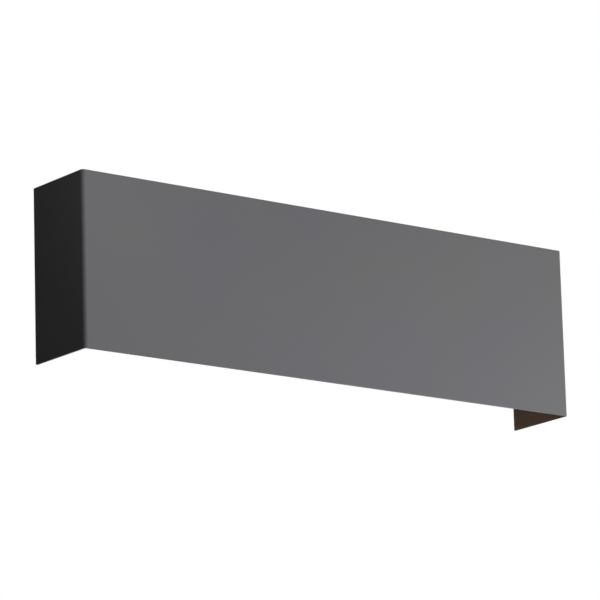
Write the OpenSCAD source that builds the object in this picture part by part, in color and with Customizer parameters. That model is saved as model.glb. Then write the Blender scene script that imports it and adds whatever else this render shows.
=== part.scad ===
// Up and down LED wall light: a folded sheet cover over a finned light unit on a wall plate.
// Millimetres. The wall is the plane y = 0, the light stands out along -Y and +Z is up.
// The origin is the centre of the wall plate's rear face.

/* [Cover] */
// Outside width of the cover, along the wall
cover_w = 360; // [320:1:480]
// Outside height of the cover
cover_h = 105; // [92:1:160]
// Depth of the cover, from its rear edges to its front face
cover_d = 50; // [47:0.5:70]
// Thickness of the cover's sheet
cover_t = 1.5; // [1:0.1:2]
// Outside radius of the cover's two bends
cover_bend_r = 2.2; // [2.1:0.1:5]
// Gap between the wall and the cover's rear edges
wall_gap = 0.8; // [0.3:0.1:3]

/* [Cover tabs] */
// Thickness of the tabs welded inside the cover
tab_t = 1.5; // [1:0.1:2]
// Reach of each tab inwards from the cover's end
tab_w = 18; // [16:0.5:24]
// Height of the leaf that is welded to the cover's end
tab_h = 14; // [8:0.5:20]
// Gap between the wall plate's web and the tabs' rear edges
tab_rear_gap = 0.5; // [0.3:0.1:1]
// Coating gap between a tab and what it rests on or is clamped by
slip = 0.1; // [0.05:0.05:0.2]
// Width of the lower tabs' slots round the lock screws
lock_slot_w = 5; // [4.6:0.1:6]

/* [Wall plate] */
// Height of the wall plate over its folded lips
plate_h = 56; // [54:1:70]
// Thickness of the wall plate's sheet
plate_t = 1.5; // [1.2:0.1:2]
// Outside radius of the wall plate's folds
plate_bend_r = 2.2; // [2.1:0.1:3]
// Gap between each end of the wall plate and the tab beside it
plate_end_gap = 2; // [1:0.1:4]
// Depth of the stiffening lips behind the light unit
lip_d = 5; // [4:0.5:8]
// Depth of the four ears that carry the cover
ear_d = 14; // [12:0.5:20]
// Width of each ear along the wall
ear_w = 30; // [26:0.5:40]
// Corner radius of the ears
ear_corner_r = 3; // [1:0.5:5]

/* [Wall screws] */
// Width of the slots for the wall screws
slot_w = 5; // [4:0.1:6]
// Length of the slots for the wall screws
slot_l = 12; // [8:0.5:16]
// Distance from the plate's end to a slot's centre
slot_from_end = 15; // [12:0.5:18]

/* [Cable inlet] */
// Radius of the cable that the grommet takes
cable_r = 3.5; // [2.5:0.1:4.5]
// Rubber between the cable and the plate
grommet_wall = 2; // [1:0.1:2.5]
// How far the grommet's flanges reach past its hole
grommet_rim = 2.2; // [1.5:0.1:2.6]
// Thickness of each flange of the grommet
grommet_flange_t = 1.6; // [1:0.1:2]
// Distance from the plate's end to the grommet's centre
inlet_from_end = 14.5; // [14:0.5:16]
// Slope round the recess that takes the rear flange
dish_slope = 2; // [1:0.1:2.2]

/* [Terminal block] */
// Length of the terminal block along its wires
term_w = 17; // [15:0.5:20]
// Width of one pole
pole_w = 6.4; // [5.8:0.1:6.6]
// Distance between the two lower poles
pole_pitch = 8; // [7:0.1:9]
// Clear width for the fixing nut between the poles
term_fix_gap = 7.6; // [7.2:0.1:8.2]
// Thickness of the block's base
term_base_t = 2.5; // [2:0.1:3]
// Height of the wire holes over the plate
term_axis_h = 6.2; // [5.8:0.1:7]
// Height of the block over the plate
term_h = 12.5; // [11.5:0.1:15]
// Outside radius of the brass clamps
clamp_r = 2.3; // [2.1:0.1:2.5]
// Bore radius of the brass clamps
clamp_bore_r = 1.35; // [1.2:0.05:1.5]
// Radius of the terminal screws
term_screw_r = 1.1; // [0.9:0.05:1.2]
// Gap between the terminal block and the recess beside it
term_gap = 0.6; // [0.4:0.1:2]
// Room for the wires' bends between the terminal block and the left bracket's foot
wiring_room = 4; // [3.8:0.1:8]

/* [Light unit] */
// Free space between the fins and the cover's front
air_gap = 8; // [4:0.5:12]
// Gap between the housing and the plate's lips
housing_gap = 1.5; // [0.8:0.1:2.5]
// Wall thickness of the housing
housing_t = 2; // [1.6:0.1:2.5]
// Thickness of the shelves that carry the LED boards
shelf_t = 2; // [1.6:0.1:3]
// Depth of the two light chambers
chamber_h = 8; // [7.6:0.1:10]
// Number of cooling fins on the front
fin_count = 9; // [5:1:12]
// Depth of the fins
fin_d = 5; // [3:0.5:8]
// Thickness of the fins
fin_t = 1.6; // [1.2:0.1:2]
// Outside radius of the screw ports
port_r = 2.8; // [2.6:0.1:3.2]
// Radius of the holes in the screw ports
port_bore_r = 1.45; // [1.3:0.05:1.6]
// Width of the screw ports' open side
port_slot = 1; // [0.6:0.1:1.2]

/* [Diffusers and LED boards] */
// Thickness of the diffusers
diffuser_t = 2; // [1.5:0.1:2.2]
// Clearance round the diffusers
diffuser_gap = 0.2; // [0.1:0.05:0.4]
// Thickness of the lips that hold the diffusers in
lip_t = 0.8; // [0.6:0.1:1]
// Reach of the lips and ribs that hold the diffusers
lip_reach = 1.5; // [1:0.1:2]
// Width of the LED boards
board_w = 14; // [12:0.5:18]
// Thickness of the LED boards
board_t = 1.6; // [1:0.1:1.6]
// How much shorter the boards are than the housing at each end
board_end_gap = 4; // [2:0.5:8]
// Distance between the LEDs
led_pitch = 10; // [9.5:0.5:20]
// Length of one LED
led_l = 3.5; // [2:0.1:5]
// Width of one LED
led_w = 2.8; // [2:0.1:5]
// Height of one LED
led_h = 0.8; // [0.5:0.1:1]
// Width of the rim round an LED's sunk window
led_rim = 0.35; // [0.2:0.05:0.6]

/* [End brackets] */
// Thickness of the end brackets
bracket_t = 1.5; // [1.2:0.1:2]
// Reach of the brackets' feet along the plate
foot_w = 12.5; // [12:0.5:16]
// Height of the foot studs over and under the middle
foot_stud_z = 14; // [12:0.5:17]
// Depth of the brackets' openings for the wires
window_d = 16; // [10:0.5:20]
// Height of the brackets' openings for the wires
window_h = 12; // [11:0.5:14]

/* [Driver] */
// Length of the driver's case
driver_l = 100; // [80:1:120]
// Gap between the driver's case and the screw ports over and under it
driver_gap = 0.5; // [0.3:0.1:1.5]
// Depth of the driver's case
driver_d = 21; // [18:0.5:24]
// Wall thickness of the driver's case
driver_t = 1.6; // [1.2:0.1:2]
// Corner radius of the driver's case, seen from the front
driver_corner_r = 2; // [1:0.1:2.6]
// Length of the fixing ears on the driver
driver_ear = 9; // [8.5:0.5:12]
// How far the driver is from the middle, towards the terminal block
driver_shift = 25; // [20:1:35]
// Height of the driver's circuit board over the floor of its case
driver_board_h = 3; // [2:0.5:4]
// Width of the transformer's core
core_w = 16; // [12:0.5:18]
// Gap over and under the transformer in the driver's case
core_gap = 0.9; // [0.4:0.1:3]
// Thickness of each half of the transformer's core
core_t = 3; // [2:0.5:4]
// Thickness of the transformer's side legs
core_leg = 1.3; // [0.8:0.1:2]
// Radius of the input capacitor
can_r = 5; // [4:0.5:6]
// Radius of the two smaller capacitors
small_can_r = 4; // [3:0.5:5]

/* [Fasteners and wires] */
// Radius of the larger screws and studs
m4_r = 2; // [1.8:0.05:2.1]
// Radius of the smaller screws and studs
m3_r = 1.5; // [1.4:0.05:1.6]
// Radius of the heads of the smaller screws
screw_head_r = 2.6; // [2.2:0.1:3]
// Height of the heads of the smaller screws
screw_head_h = 1.8; // [1.4:0.1:2]
// Clearance between a screw and its hole
thread_gap = 0.05; // [0.03:0.01:0.1]
// Clearance between a stud and the piece slipped over it
stud_gap = 0.2; // [0.1:0.05:0.4]
// Height of the larger nuts
m4_nut_h = 3.2; // [2.6:0.1:3.6]
// Height of the smaller nuts
m3_nut_h = 2.4; // [2:0.1:2.6]
// Width of the larger nuts across their flats
m4_nut_across = 7; // [6.4:0.1:7.4]
// Width of the smaller nuts across their flats
m3_nut_across = 5.5; // [5:0.1:6]
// Radius of the lock screws' heads
lock_head_r = 3.8; // [3:0.1:4.2]
// Height of the lock screws' heads
lock_head_h = 2.5; // [2:0.1:3]
// Width of the hex sockets in the lock screws
lock_socket = 2.5; // [2:0.5:3]
// How far a stud stands out of its nut
stud_end = 0.8; // [0.4:0.1:1.2]
// Radius of the mains wires
wire_r = 0.9; // [0.8:0.05:1]
// Radius of the wires to the LED boards
lead_r = 0.65; // [0.5:0.05:0.7]
// Distance between the two wires to a board
lead_gap = 2.2; // [1.8:0.1:2.6]
// Distance from the driver to the slots where these wires pass the shelves
lead_run = 34; // [20:1:45]

/* [Hidden] */
$fn = 48;
eps = 0.01;

// Colours
cover_colour = [0.20, 0.20, 0.21];
zinc = [0.72, 0.73, 0.75];
aluminium = [0.80, 0.81, 0.83];
brass = [0.80, 0.65, 0.30];

// Cover and its tabs, seen from above: forward distances are from the wall
cover_front = wall_gap + cover_d;
cover_inner_x = cover_w / 2 - cover_t;
tab_inner_x = cover_inner_x - tab_w;
tab_back = plate_t + tab_rear_gap;

// Wall plate
plate_w = 2 * (cover_inner_x - tab_t - plate_end_gap);
ear_z = plate_h / 2;
lip_in_z = ear_z - plate_t;
slot_x = plate_w / 2 - slot_from_end;
lock_x = (plate_w / 2 + tab_inner_x) / 2;
lock_forward = (tab_back + ear_d) / 2;
boss_wall = 1.6;
boss_r = m4_r + boss_wall;
boss_h = 2.5;

// Cable inlet, below the left wall slot
hole_r = cable_r + grommet_wall;
flange_r = hole_r + grommet_rim;
flange_ease = 0.3;
dish_flat_r = flange_r + flange_ease;
dish_r = dish_flat_r + dish_slope;
dish_slant = 0.6;
dish_seam = 0.5;
dish_step = grommet_flange_t + 0.4;
dish_forward = dish_step + plate_t;
inlet_x = -plate_w / 2 + inlet_from_end;
inlet_z = -(slot_w / 2 + lip_in_z) / 2;

// Terminal block, beside the inlet: the fixing stud stands between the neutral and earth poles
term_x = inlet_x + dish_r + dish_slant + term_gap + term_w / 2;
term_fix_z = pole_pitch / 2;
pole_step = (term_fix_gap + pole_w) / 2;
live_z = term_fix_z - pole_step - pole_pitch;
neutral_z = term_fix_z - pole_step;
earth_z = term_fix_z + pole_step;
pole_zs = [live_z, neutral_z, earth_z];
term_margin = 0.8;
term_top_z = earth_z + pole_w / 2 + term_margin;
term_low_z = live_z - pole_w / 2 - term_margin;
term_axis = plate_t + term_axis_h;
term_right_x = term_x + term_w / 2;
term_screw_xs = [term_x - term_w / 4, term_x + term_w / 4];

// Light unit
foot_in_x = term_right_x + wiring_room;
housing_w = 2 * (-foot_in_x - foot_w);
housing_h = 2 * (lip_in_z - housing_gap);
housing_x = housing_w / 2;
fin_tip = cover_front - cover_t - air_gap;
housing_front = fin_tip - fin_d;
front_wall_in = housing_front - housing_t;
rear_wall_in = plate_t + housing_t;
shelf_z = housing_h / 2 - chamber_h;
shelf_low_z = shelf_z - shelf_t;
port_sink = 0.6;
port_z = shelf_low_z - port_r + port_sink;
head_ease = 0.4;
port_forwards = [plate_t + bracket_t + screw_head_r + head_ease, front_wall_in - port_r + port_sink];
diffuser_z = housing_h / 2 - lip_t - diffuser_gap / 2;
rib_z = housing_h / 2 - lip_t - diffuser_t - diffuser_gap;
chamber_mid = (rear_wall_in + front_wall_in) / 2;
board_l = housing_w - 2 * board_end_gap;
board_screw_edge = 1.5;
board_screw_x = board_l / 2 - screw_head_r - board_screw_edge;
board_screw_xs = [-board_screw_x, 0, board_screw_x];
port_screw_l = 8;
led_half_count = floor((board_screw_x - screw_head_r - led_l / 2) / led_pitch + 0.5);

// Brackets stand against the housing's ends with their feet on the plate
bracket_x = housing_x;
foot_stud_x = housing_x + bracket_t + screw_head_h + head_ease + m4_nut_across / sqrt(3);
bracket_h = housing_h;
bracket_bend_r = bracket_t + 0.6;
bracket_corner_r = 4;

// Driver, on the plate between the screw ports
driver_x = -driver_shift;
driver_h = 2 * (port_z - port_r - driver_gap);
driver_front = plate_t + driver_d;
driver_left_x = driver_x - driver_l / 2;
driver_right_x = driver_x + driver_l / 2;
driver_ear_t = 2;
driver_stud_xs = [driver_left_x - driver_ear / 2, driver_right_x + driver_ear / 2];
driver_board_t = 1.6;
driver_part_forward = plate_t + driver_t + driver_board_h + driver_board_t;
driver_room = driver_front - driver_t - driver_part_forward;
driver_wire_h = driver_part_forward + 4;
driver_wire_z = 4;
wire_end = 2.5;
lid_gap = 0.1;
board_gap = 0.4;
post_r = 1.5;
post_from_end = 8;
post_from_side = 3;

// Parts in a row on the driver's circuit board: two capacitors, the transformer, a capacitor
part_gap = 4;
core_h = driver_h - 2 * (driver_t + core_gap);
core_x = driver_x + core_w / 2;
mid_can_x = driver_x - part_gap - small_can_r;
input_can_x = mid_can_x - small_can_r - part_gap - can_r;
output_can_x = core_x + core_w / 2 + 3 * part_gap + small_can_r;

// Studs on the wall plate
foot_stud_h = bracket_t + m4_nut_h + stud_end;
washer_t = 0.8;
lug_t = 0.8;
earth_stud_h = washer_t + lug_t + m4_nut_h + stud_end;
term_stud_h = term_base_t + m3_nut_h + stud_end;
driver_stud_h = driver_ear_t + m3_nut_h + stud_end;
lug_r = m4_r + 2;
earth_stud_x = term_x;
earth_stud_z = (term_top_z + lip_in_z) / 2;
lug_wall = 0.6;
lug_grip = 2.2;
earth_lug_x = earth_stud_x + lug_r + 4.2;
wire_turn_x = term_right_x + 2.8;

// LED wires leave the driver's right end, two above the middle and two below, and pass the
// shelves in slots between the rear screw ports and the boards
lead_far_z = driver_h / 2 - driver_t - 1.9;
lead_near_z = lead_far_z * 0.4;
lead_ease = 0.45;
lead_x = driver_right_x + lead_run;
lead_forward = (port_forwards[0] + port_r + chamber_mid - board_w / 2) / 2;

// Extrudes an outline of [forward distance, height] along the wall, centred on the middle
module along_wall(length) {
  translate([-length / 2, 0, 0])
    mirror([0, 1, 0])
      rotate([90, 0, 90])
        linear_extrude(length)
          children();
}

// Turns a piece built up from z = 0 so that it stands out from the wall
module out_from_wall(x, forward, z) {
  translate([x, -forward, z])
    rotate([90, 0, 0])
      children();
}

// Turns a piece built up from z = 0 so that it points along +X
module along_x(x, forward, z) {
  translate([x, -forward, z])
    rotate([0, 90, 0])
      children();
}

module both_sides() {
  for (side = [0, 1])
    mirror([side, 0, 0])
      children();
}

module top_and_bottom() {
  for (side = [0, 1])
    mirror([0, 0, side])
      children();
}

// Outline with its open side at x = 0 and rounded corners at x = depth, centred in y
module rounded_block(depth, width, r) {
  translate([0, -width / 2])
    square([depth - r, width]);
  translate([0, r - width / 2])
    square([depth, width - 2 * r]);
  for (y = [r - width / 2, width / 2 - r])
    translate([depth - r, y])
      circle(r);
}

// A folded sheet seen on edge: a U whose closed side lies at x = depth
module folded_outline(depth, width, thickness, r) {
  difference() {
    rounded_block(depth, width, r);
    translate([-1, 0])
      rounded_block(depth - thickness + 1, width - 2 * thickness, r - thickness);
  }
}

// A folded angle seen on edge: its outer corner is at the origin and its legs run to -x and -y
module angle_outline(leg_x, leg_y, thickness, r) {
  translate([-leg_x, -thickness])
    square([leg_x - r, thickness]);
  translate([-thickness, -leg_y])
    square([thickness, leg_y - r]);
  intersection() {
    translate([-r, -r])
      square([r, r]);
    translate([-r, -r])
      difference() {
        circle(r);
        circle(r - thickness);
      }
  }
}

module stadium(length, width) {
  square([length - width, width], center = true);
  for (x = [-1, 1])
    translate([x * (length - width) / 2, 0])
      circle(width / 2);
}

module hex_nut(r, height, across) {
  difference() {
    intersection() {
      cylinder(h = height, r = across / sqrt(3), $fn = 6);
      translate([0, 0, -across / 2 + height])
        cylinder(h = across / 2 + eps, r1 = across, r2 = across / 2 - 0.1);
    }
    translate([0, 0, -1])
      cylinder(h = height + 2, r = r + thread_gap);
  }
}

// Pan head screw: the head stands up from z = 0 and the shank hangs below it
module pan_screw(r, length, head_r, head_h) {
  difference() {
    union() {
      cylinder(h = head_h / 2, r = head_r);
      translate([0, 0, head_h / 2])
        cylinder(h = head_h / 2, r1 = head_r, r2 = head_r - head_h / 2);
      translate([0, 0, -length])
        cylinder(h = length + eps, r = r - thread_gap);
    }
    for (turn = [0, 90])
      rotate([0, 0, turn])
        translate([-head_r * 0.55, -0.3, head_h * 0.4])
          cube([head_r * 1.1, 0.6, head_h]);
  }
}

function unit(v) = v / norm(v);
// A bend at corner b of the way from a to c: it starts and ends at the given reach from the corner
function bend(a, b, c, reach, steps = 5) =
  let (room = min(reach, 0.49 * norm(a - b), 0.49 * norm(c - b)),
       start = b + room * unit(a - b),
       end = b + room * unit(c - b))
  [for (i = [0 : steps])
    let (t = i / steps) start * (1 - t) * (1 - t) + b * 2 * t * (1 - t) + end * t * t];
// A wire's route: straight runs between its corners, with a bend at each corner
function route(p, reach) =
  [p[0], for (i = [1 : len(p) - 2]) each bend(p[i - 1], p[i], p[i + 1], reach), p[len(p) - 1]];
function heading(path, i) = unit(path[min(i + 1, len(path) - 1)] - path[max(i - 1, 0)]);

// A round wire swept along a path that never runs straight out of the wall
module wire(path, r, sides = 8) {
  n = len(path);
  rings = [for (i = [0 : n - 1])
    let (t = heading(path, i), u = unit(cross([0, 1, 0], t)), v = cross(t, u))
    for (k = [0 : sides - 1])
      path[i] + r * (cos(360 * k / sides) * u + sin(360 * k / sides) * v)];
  walls = [for (i = [0 : n - 2], k = [0 : sides - 1])
    let (a = i * sides + k, b = i * sides + (k + 1) % sides)
    each [[a, a + sides, b], [b, a + sides, b + sides]]];
  first = [[for (k = [0 : sides - 1]) k]];
  last = [[for (k = [0 : sides - 1]) (n - 1) * sides + sides - 1 - k]];
  polyhedron(points = rings, faces = concat(walls, first, last));
}

// The plate seen from above: a strip as deep as its lips, with deeper ears at both ends
module plate_plan() {
  translate([-plate_w / 2, -lip_d])
    square([plate_w, lip_d]);
  for (x = [-plate_w / 2, plate_w / 2 - ear_w]) {
    translate([x, ear_corner_r - ear_d])
      square([ear_w, ear_d - ear_corner_r]);
    translate([x + ear_corner_r, -ear_d])
      square([ear_w - 2 * ear_corner_r, ear_d]);
    for (corner = [ear_corner_r, ear_w - ear_corner_r])
      translate([x + corner, ear_corner_r - ear_d])
        circle(ear_corner_r);
  }
}

// Pressed recess round the cable hole: the grommet's rear flange stays in front of the wall
module inlet_dish() {
  dish_out_r = dish_r + 2 * dish_seam;
  rotate_extrude()
    polygon([[hole_r, dish_step], [dish_flat_r, dish_step], [dish_r, 0], [dish_out_r, 0],
             [dish_out_r, plate_t], [dish_r + dish_slant, plate_t], [dish_flat_r + dish_slant, dish_forward],
             [hole_r, dish_forward]]);
}

module stud(x, z, r, height) {
  out_from_wall(x, plate_t - eps, z)
    cylinder(h = height + eps, r = r);
}

module wall_plate() color(zinc) {
  difference() {
    union() {
      intersection() {
        along_wall(plate_w)
          translate([ear_d, 0])
            mirror([1, 0])
              folded_outline(ear_d, plate_h, plate_t, plate_bend_r);
        translate([0, 0, -ear_z - 1])
          linear_extrude(plate_h + 2)
            plate_plan();
      }
      for (x = [-lock_x, lock_x])
        translate([x, -lock_forward, -lip_in_z - eps])
          cylinder(h = boss_h + eps, r = boss_r);
    }
    for (x = [-slot_x, slot_x])
      out_from_wall(x, -1, 0)
        linear_extrude(plate_t + 2)
          stadium(slot_l, slot_w);
    for (x = [-lock_x, lock_x])
      translate([x, -lock_forward, -ear_z - 1])
        cylinder(h = plate_t + boss_h + 2, r = m4_r);
    out_from_wall(inlet_x, -1, inlet_z)
      cylinder(h = plate_t + 2, r = dish_r + dish_seam);
  }
  out_from_wall(inlet_x, 0, inlet_z)
    inlet_dish();
  for (x = [-foot_stud_x, foot_stud_x], z = [-foot_stud_z, foot_stud_z])
    stud(x, z, m4_r, foot_stud_h);
  stud(earth_stud_x, earth_stud_z, m4_r, earth_stud_h);
  stud(term_x, term_fix_z, m3_r, term_stud_h);
  for (x = driver_stud_xs)
    stud(x, 0, m3_r, driver_stud_h);
}

module cable_grommet() color([0.12, 0.12, 0.12]) {
  rear = dish_step - grommet_flange_t;
  front = dish_forward + grommet_flange_t;
  out_from_wall(inlet_x, 0, inlet_z)
    rotate_extrude()
      polygon([[cable_r, rear], [flange_r, rear], [flange_r, dish_step], [hole_r, dish_step],
               [hole_r, dish_forward], [flange_r, dish_forward], [flange_r - 0.4, front],
               [cable_r + 0.4, front + 1], [cable_r, front + 1]]);
}

// One pole of the terminal block on edge, as [height over the plate, height up the wall]
module pole_outline() {
  translate([0, -pole_w / 2])
    square([term_axis_h, pole_w]);
  translate([term_axis_h, 0])
    circle(pole_w / 2);
}

module terminal_block() color([0.93, 0.93, 0.90]) {
  difference() {
    union() {
      translate([term_x, -plate_t, 0])
        along_wall(term_w)
          translate([0, term_low_z])
            square([term_base_t, term_top_z - term_low_z]);
      for (z = pole_zs)
        translate([term_x, -plate_t, z]) {
          along_wall(term_w)
            pole_outline();
          for (x = term_screw_xs)
            out_from_wall(x - term_x, 0, 0)
              cylinder(h = term_h, r = pole_w / 2 - 0.6);
        }
    }
    for (z = pole_zs) {
      along_x(term_x - term_w / 2 - 1, term_axis, z)
        cylinder(h = term_w + 2, r = clamp_r + thread_gap);
      for (x = term_screw_xs)
        out_from_wall(x, term_axis, z)
          cylinder(h = term_h, r = term_screw_r + 0.5);
    }
    out_from_wall(term_x, 0, term_fix_z)
      cylinder(h = term_h, r = m3_r + stud_gap);
  }
}

module terminal_clamps() color(brass) {
  for (z = pole_zs)
    difference() {
      along_x(term_x - term_w / 2 + 1, term_axis, z)
        cylinder(h = term_w - 2, r = clamp_r);
      along_x(term_x - term_w / 2, term_axis, z)
        cylinder(h = term_w, r = clamp_bore_r);
      for (x = term_screw_xs)
        out_from_wall(x, term_axis, z)
          cylinder(h = term_h, r = term_screw_r + thread_gap);
    }
}

module terminal_screws() color(zinc) {
  length = term_h - term_axis_h - wire_r - 1.5;
  for (z = pole_zs, x = term_screw_xs)
    out_from_wall(x, term_axis + wire_r + 0.1, z)
      difference() {
        cylinder(h = length, r = term_screw_r);
        translate([-term_screw_r - 1, -0.25, length - 0.7])
          cube([2 * term_screw_r + 2, 0.5, 1]);
      }
}

module terminal_nut() color(zinc) {
  out_from_wall(term_x, plate_t + term_base_t, term_fix_z)
    hex_nut(m3_r, m3_nut_h, m3_nut_across);
}

module earth_washer() color(zinc) {
  tooth_count = 12;
  tooth_w = 0.8;
  tooth_l = 0.6;
  out_from_wall(earth_stud_x, plate_t, earth_stud_z)
    difference() {
      union() {
        cylinder(h = washer_t, r = lug_r - tooth_l);
        for (i = [0 : tooth_count - 1])
          rotate([0, 0, 360 * i / tooth_count])
            translate([0, -tooth_w / 2, 0])
              cube([lug_r, tooth_w, washer_t]);
      }
      translate([0, 0, -1])
        cylinder(h = washer_t + 2, r = m4_r + stud_gap);
    }
}

// Ring tongue with its barrel, which grips the earth wire
module earth_lug() color([0.85, 0.85, 0.80]) {
  ring_forward = plate_t + washer_t;
  barrel_r = wire_r + lug_wall;
  barrel_x = lug_r + 0.8;
  out_from_wall(earth_stud_x, ring_forward, earth_stud_z)
    difference() {
      union() {
        cylinder(h = lug_t, r = lug_r);
        translate([0, -barrel_r, 0])
          cube([earth_lug_x - earth_stud_x, 2 * barrel_r, lug_t]);
        translate([barrel_x, 0, barrel_r])
          rotate([0, 90, 0])
            cylinder(h = earth_lug_x - earth_stud_x - barrel_x, r = barrel_r);
      }
      translate([0, 0, -1])
        cylinder(h = lug_t + 2, r = m4_r + stud_gap);
      translate([barrel_x + 0.8, 0, barrel_r])
        rotate([0, 90, 0])
          cylinder(h = earth_lug_x - earth_stud_x, r = wire_r + thread_gap);
    }
}

module earth_nut() color(brass) {
  out_from_wall(earth_stud_x, plate_t + washer_t + lug_t, earth_stud_z)
    hex_nut(m4_r, m4_nut_h, m4_nut_across);
}

// The earth wire turns back from the block's top pole to the lug above it
module earth_wire() color([0.55, 0.70, 0.15]) {
  lug_forward = plate_t + washer_t + lug_wall + wire_r;
  wire(route([[term_right_x - wire_end, -term_axis, earth_z],
              [wire_turn_x, -term_axis, earth_z],
              [wire_turn_x, -lug_forward, earth_stud_z],
              [earth_lug_x - lug_grip, -lug_forward, earth_stud_z]],
             wire_turn_x - term_right_x), wire_r);
}

// A mains wire from its pole through the left bracket's window into the driver
module mains_wire(z, end_z) {
  window_forward = chamber_mid - 2;
  wire(route([[term_right_x - wire_end, -term_axis, z],
              [wire_turn_x, -term_axis, z],
              [-bracket_x - bracket_t - 5, -window_forward, end_z],
              [-bracket_x + 6, -window_forward, end_z],
              [driver_left_x - driver_ear, -driver_wire_h, end_z],
              [driver_left_x + wire_end, -driver_wire_h, end_z]], 4), wire_r);
}

module live_wire() color([0.45, 0.25, 0.12]) {
  mains_wire(live_z, -driver_wire_z);
}

module neutral_wire() color([0.15, 0.35, 0.75]) {
  mains_wire(neutral_z, driver_wire_z);
}

// The driver's case seen from the front, or what lies inside it by the inset
module driver_outline(inset) {
  length = driver_l - 2 * inset;
  height = driver_h - 2 * inset;
  r = max(driver_corner_r - inset, 0.2);
  square([length - 2 * r, height], center = true);
  square([length, height - 2 * r], center = true);
  for (x = [-1, 1], z = [-1, 1])
    translate([x * (length / 2 - r), z * (height / 2 - r)])
      circle(r);
}

module driver_box(inset, forward, depth) {
  out_from_wall(driver_x, forward, 0)
    linear_extrude(depth)
      driver_outline(inset);
}

module driver_case() color([0.92, 0.92, 0.90]) {
  ear_r = driver_ear / 2;
  difference() {
    union() {
      driver_box(0, plate_t, driver_d);
      for (x = driver_stud_xs)
        out_from_wall(x, plate_t, 0) {
          cylinder(h = driver_ear_t, r = ear_r);
          translate([x < driver_x ? 0 : -ear_r, -ear_r, 0])
            cube([ear_r, 2 * ear_r, driver_ear_t]);
        }
    }
    driver_box(driver_t, plate_t + driver_t, driver_d);
    for (x = driver_stud_xs)
      out_from_wall(x, 0, 0)
        cylinder(h = driver_d, r = m3_r + stud_gap);
    for (z = [-driver_wire_z, driver_wire_z])
      along_x(driver_left_x - 1, driver_wire_h, z)
        cylinder(h = driver_t + 2, r = wire_r + stud_gap);
    for (z = [-lead_far_z, -lead_near_z, lead_near_z, lead_far_z])
      along_x(driver_right_x - driver_t - 1, lead_forward, z)
        cylinder(h = driver_t + 2, r = lead_r + stud_gap);
  }
  for (x = [driver_left_x + post_from_end, driver_right_x - post_from_end], z = [-1, 1])
    out_from_wall(x, plate_t + driver_t - eps, z * (driver_h / 2 - driver_t - post_from_side))
      cylinder(h = driver_board_h + eps, r = post_r);
}

// The lid drops into the case's open front, with a tongue behind each end
module driver_lid() color([0.90, 0.90, 0.88]) {
  inset = driver_t + lid_gap;
  tongue_in = inset + lid_gap;
  tongue_d = 2;
  driver_box(inset, driver_front - driver_t, driver_t);
  for (x = [driver_left_x + tongue_in, driver_right_x - tongue_in - driver_t])
    translate([x, -driver_front + driver_t - eps, -driver_h / 4])
      cube([driver_t, tongue_d, driver_h / 2]);
}

module driver_circuit_board() color([0.15, 0.45, 0.25]) {
  driver_box(driver_t + board_gap, driver_part_forward - driver_board_t, driver_board_t);
}

// Two plates of ferrite, joined by side legs, with the winding on its bobbin between them
module driver_transformer() color([0.85, 0.75, 0.20]) {
  top_gap = 1.2;
  winding_h = driver_room - 2 * core_t - top_gap;
  window_gap = 0.2;
  bobbin_r = min(core_w / 2 - core_leg - window_gap, core_h / 2 - 2 * window_gap);
  flange_t = 0.5;
  out_from_wall(core_x, driver_part_forward, 0) {
    for (h = [0, core_t + winding_h])
      translate([-core_w / 2, -core_h / 2, h])
        cube([core_w, core_h, core_t]);
    for (x = [-core_w / 2, core_w / 2 - core_leg])
      translate([x, -core_h / 4, core_t - eps])
        cube([core_leg, core_h / 2, winding_h + 2 * eps]);
    translate([0, 0, core_t - eps])
      cylinder(h = winding_h + 2 * eps, r = bobbin_r - flange_t);
    for (h = [core_t - eps, core_t + winding_h - flange_t])
      translate([0, 0, h])
        cylinder(h = flange_t + eps, r = bobbin_r);
  }
}

// A capacitor's can on edge: a crimped groove near its foot and a rim rolled over its top
module can_outline(r, height) {
  crimp_z = 1.8;
  crimp_half = 0.6;
  crimp = 0.35;
  rolled = 0.4;
  polygon([[0, 0], [r, 0], [r, crimp_z - crimp_half], [r - crimp, crimp_z], [r, crimp_z + crimp_half],
           [r, height - rolled], [r - rolled, height], [r - 2 * rolled, height],
           [r - 2 * rolled, height - rolled], [0, height - rolled]]);
}

module driver_capacitors() color([0.15, 0.20, 0.45]) {
  // Each has its place along the board, its radius and the free room over it
  for (can = [[input_can_x, can_r, 1.7], [mid_can_x, small_can_r, 4.2], [output_can_x, small_can_r, 2.2]])
    out_from_wall(can[0], driver_part_forward, 0)
      rotate_extrude()
        can_outline(can[1], driver_room - can[2]);
}

module driver_nuts() color(zinc) {
  for (x = driver_stud_xs)
    out_from_wall(x, plate_t + driver_ear_t, 0)
      hex_nut(m3_r, m3_nut_h, m3_nut_across);
}

module fin() {
  translate([housing_front - 1, -fin_t / 2])
    square([fin_d + 1 - fin_t / 2, fin_t]);
  translate([fin_tip - fin_t / 2, 0])
    circle(fin_t / 2);
}

module screw_port(open) {
  if (open)
    union() {
      circle(port_bore_r);
      translate([-port_slot / 2, -port_r - 1])
        square([port_slot, port_r + 1]);
    }
  else
    circle(port_r);
}

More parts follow.
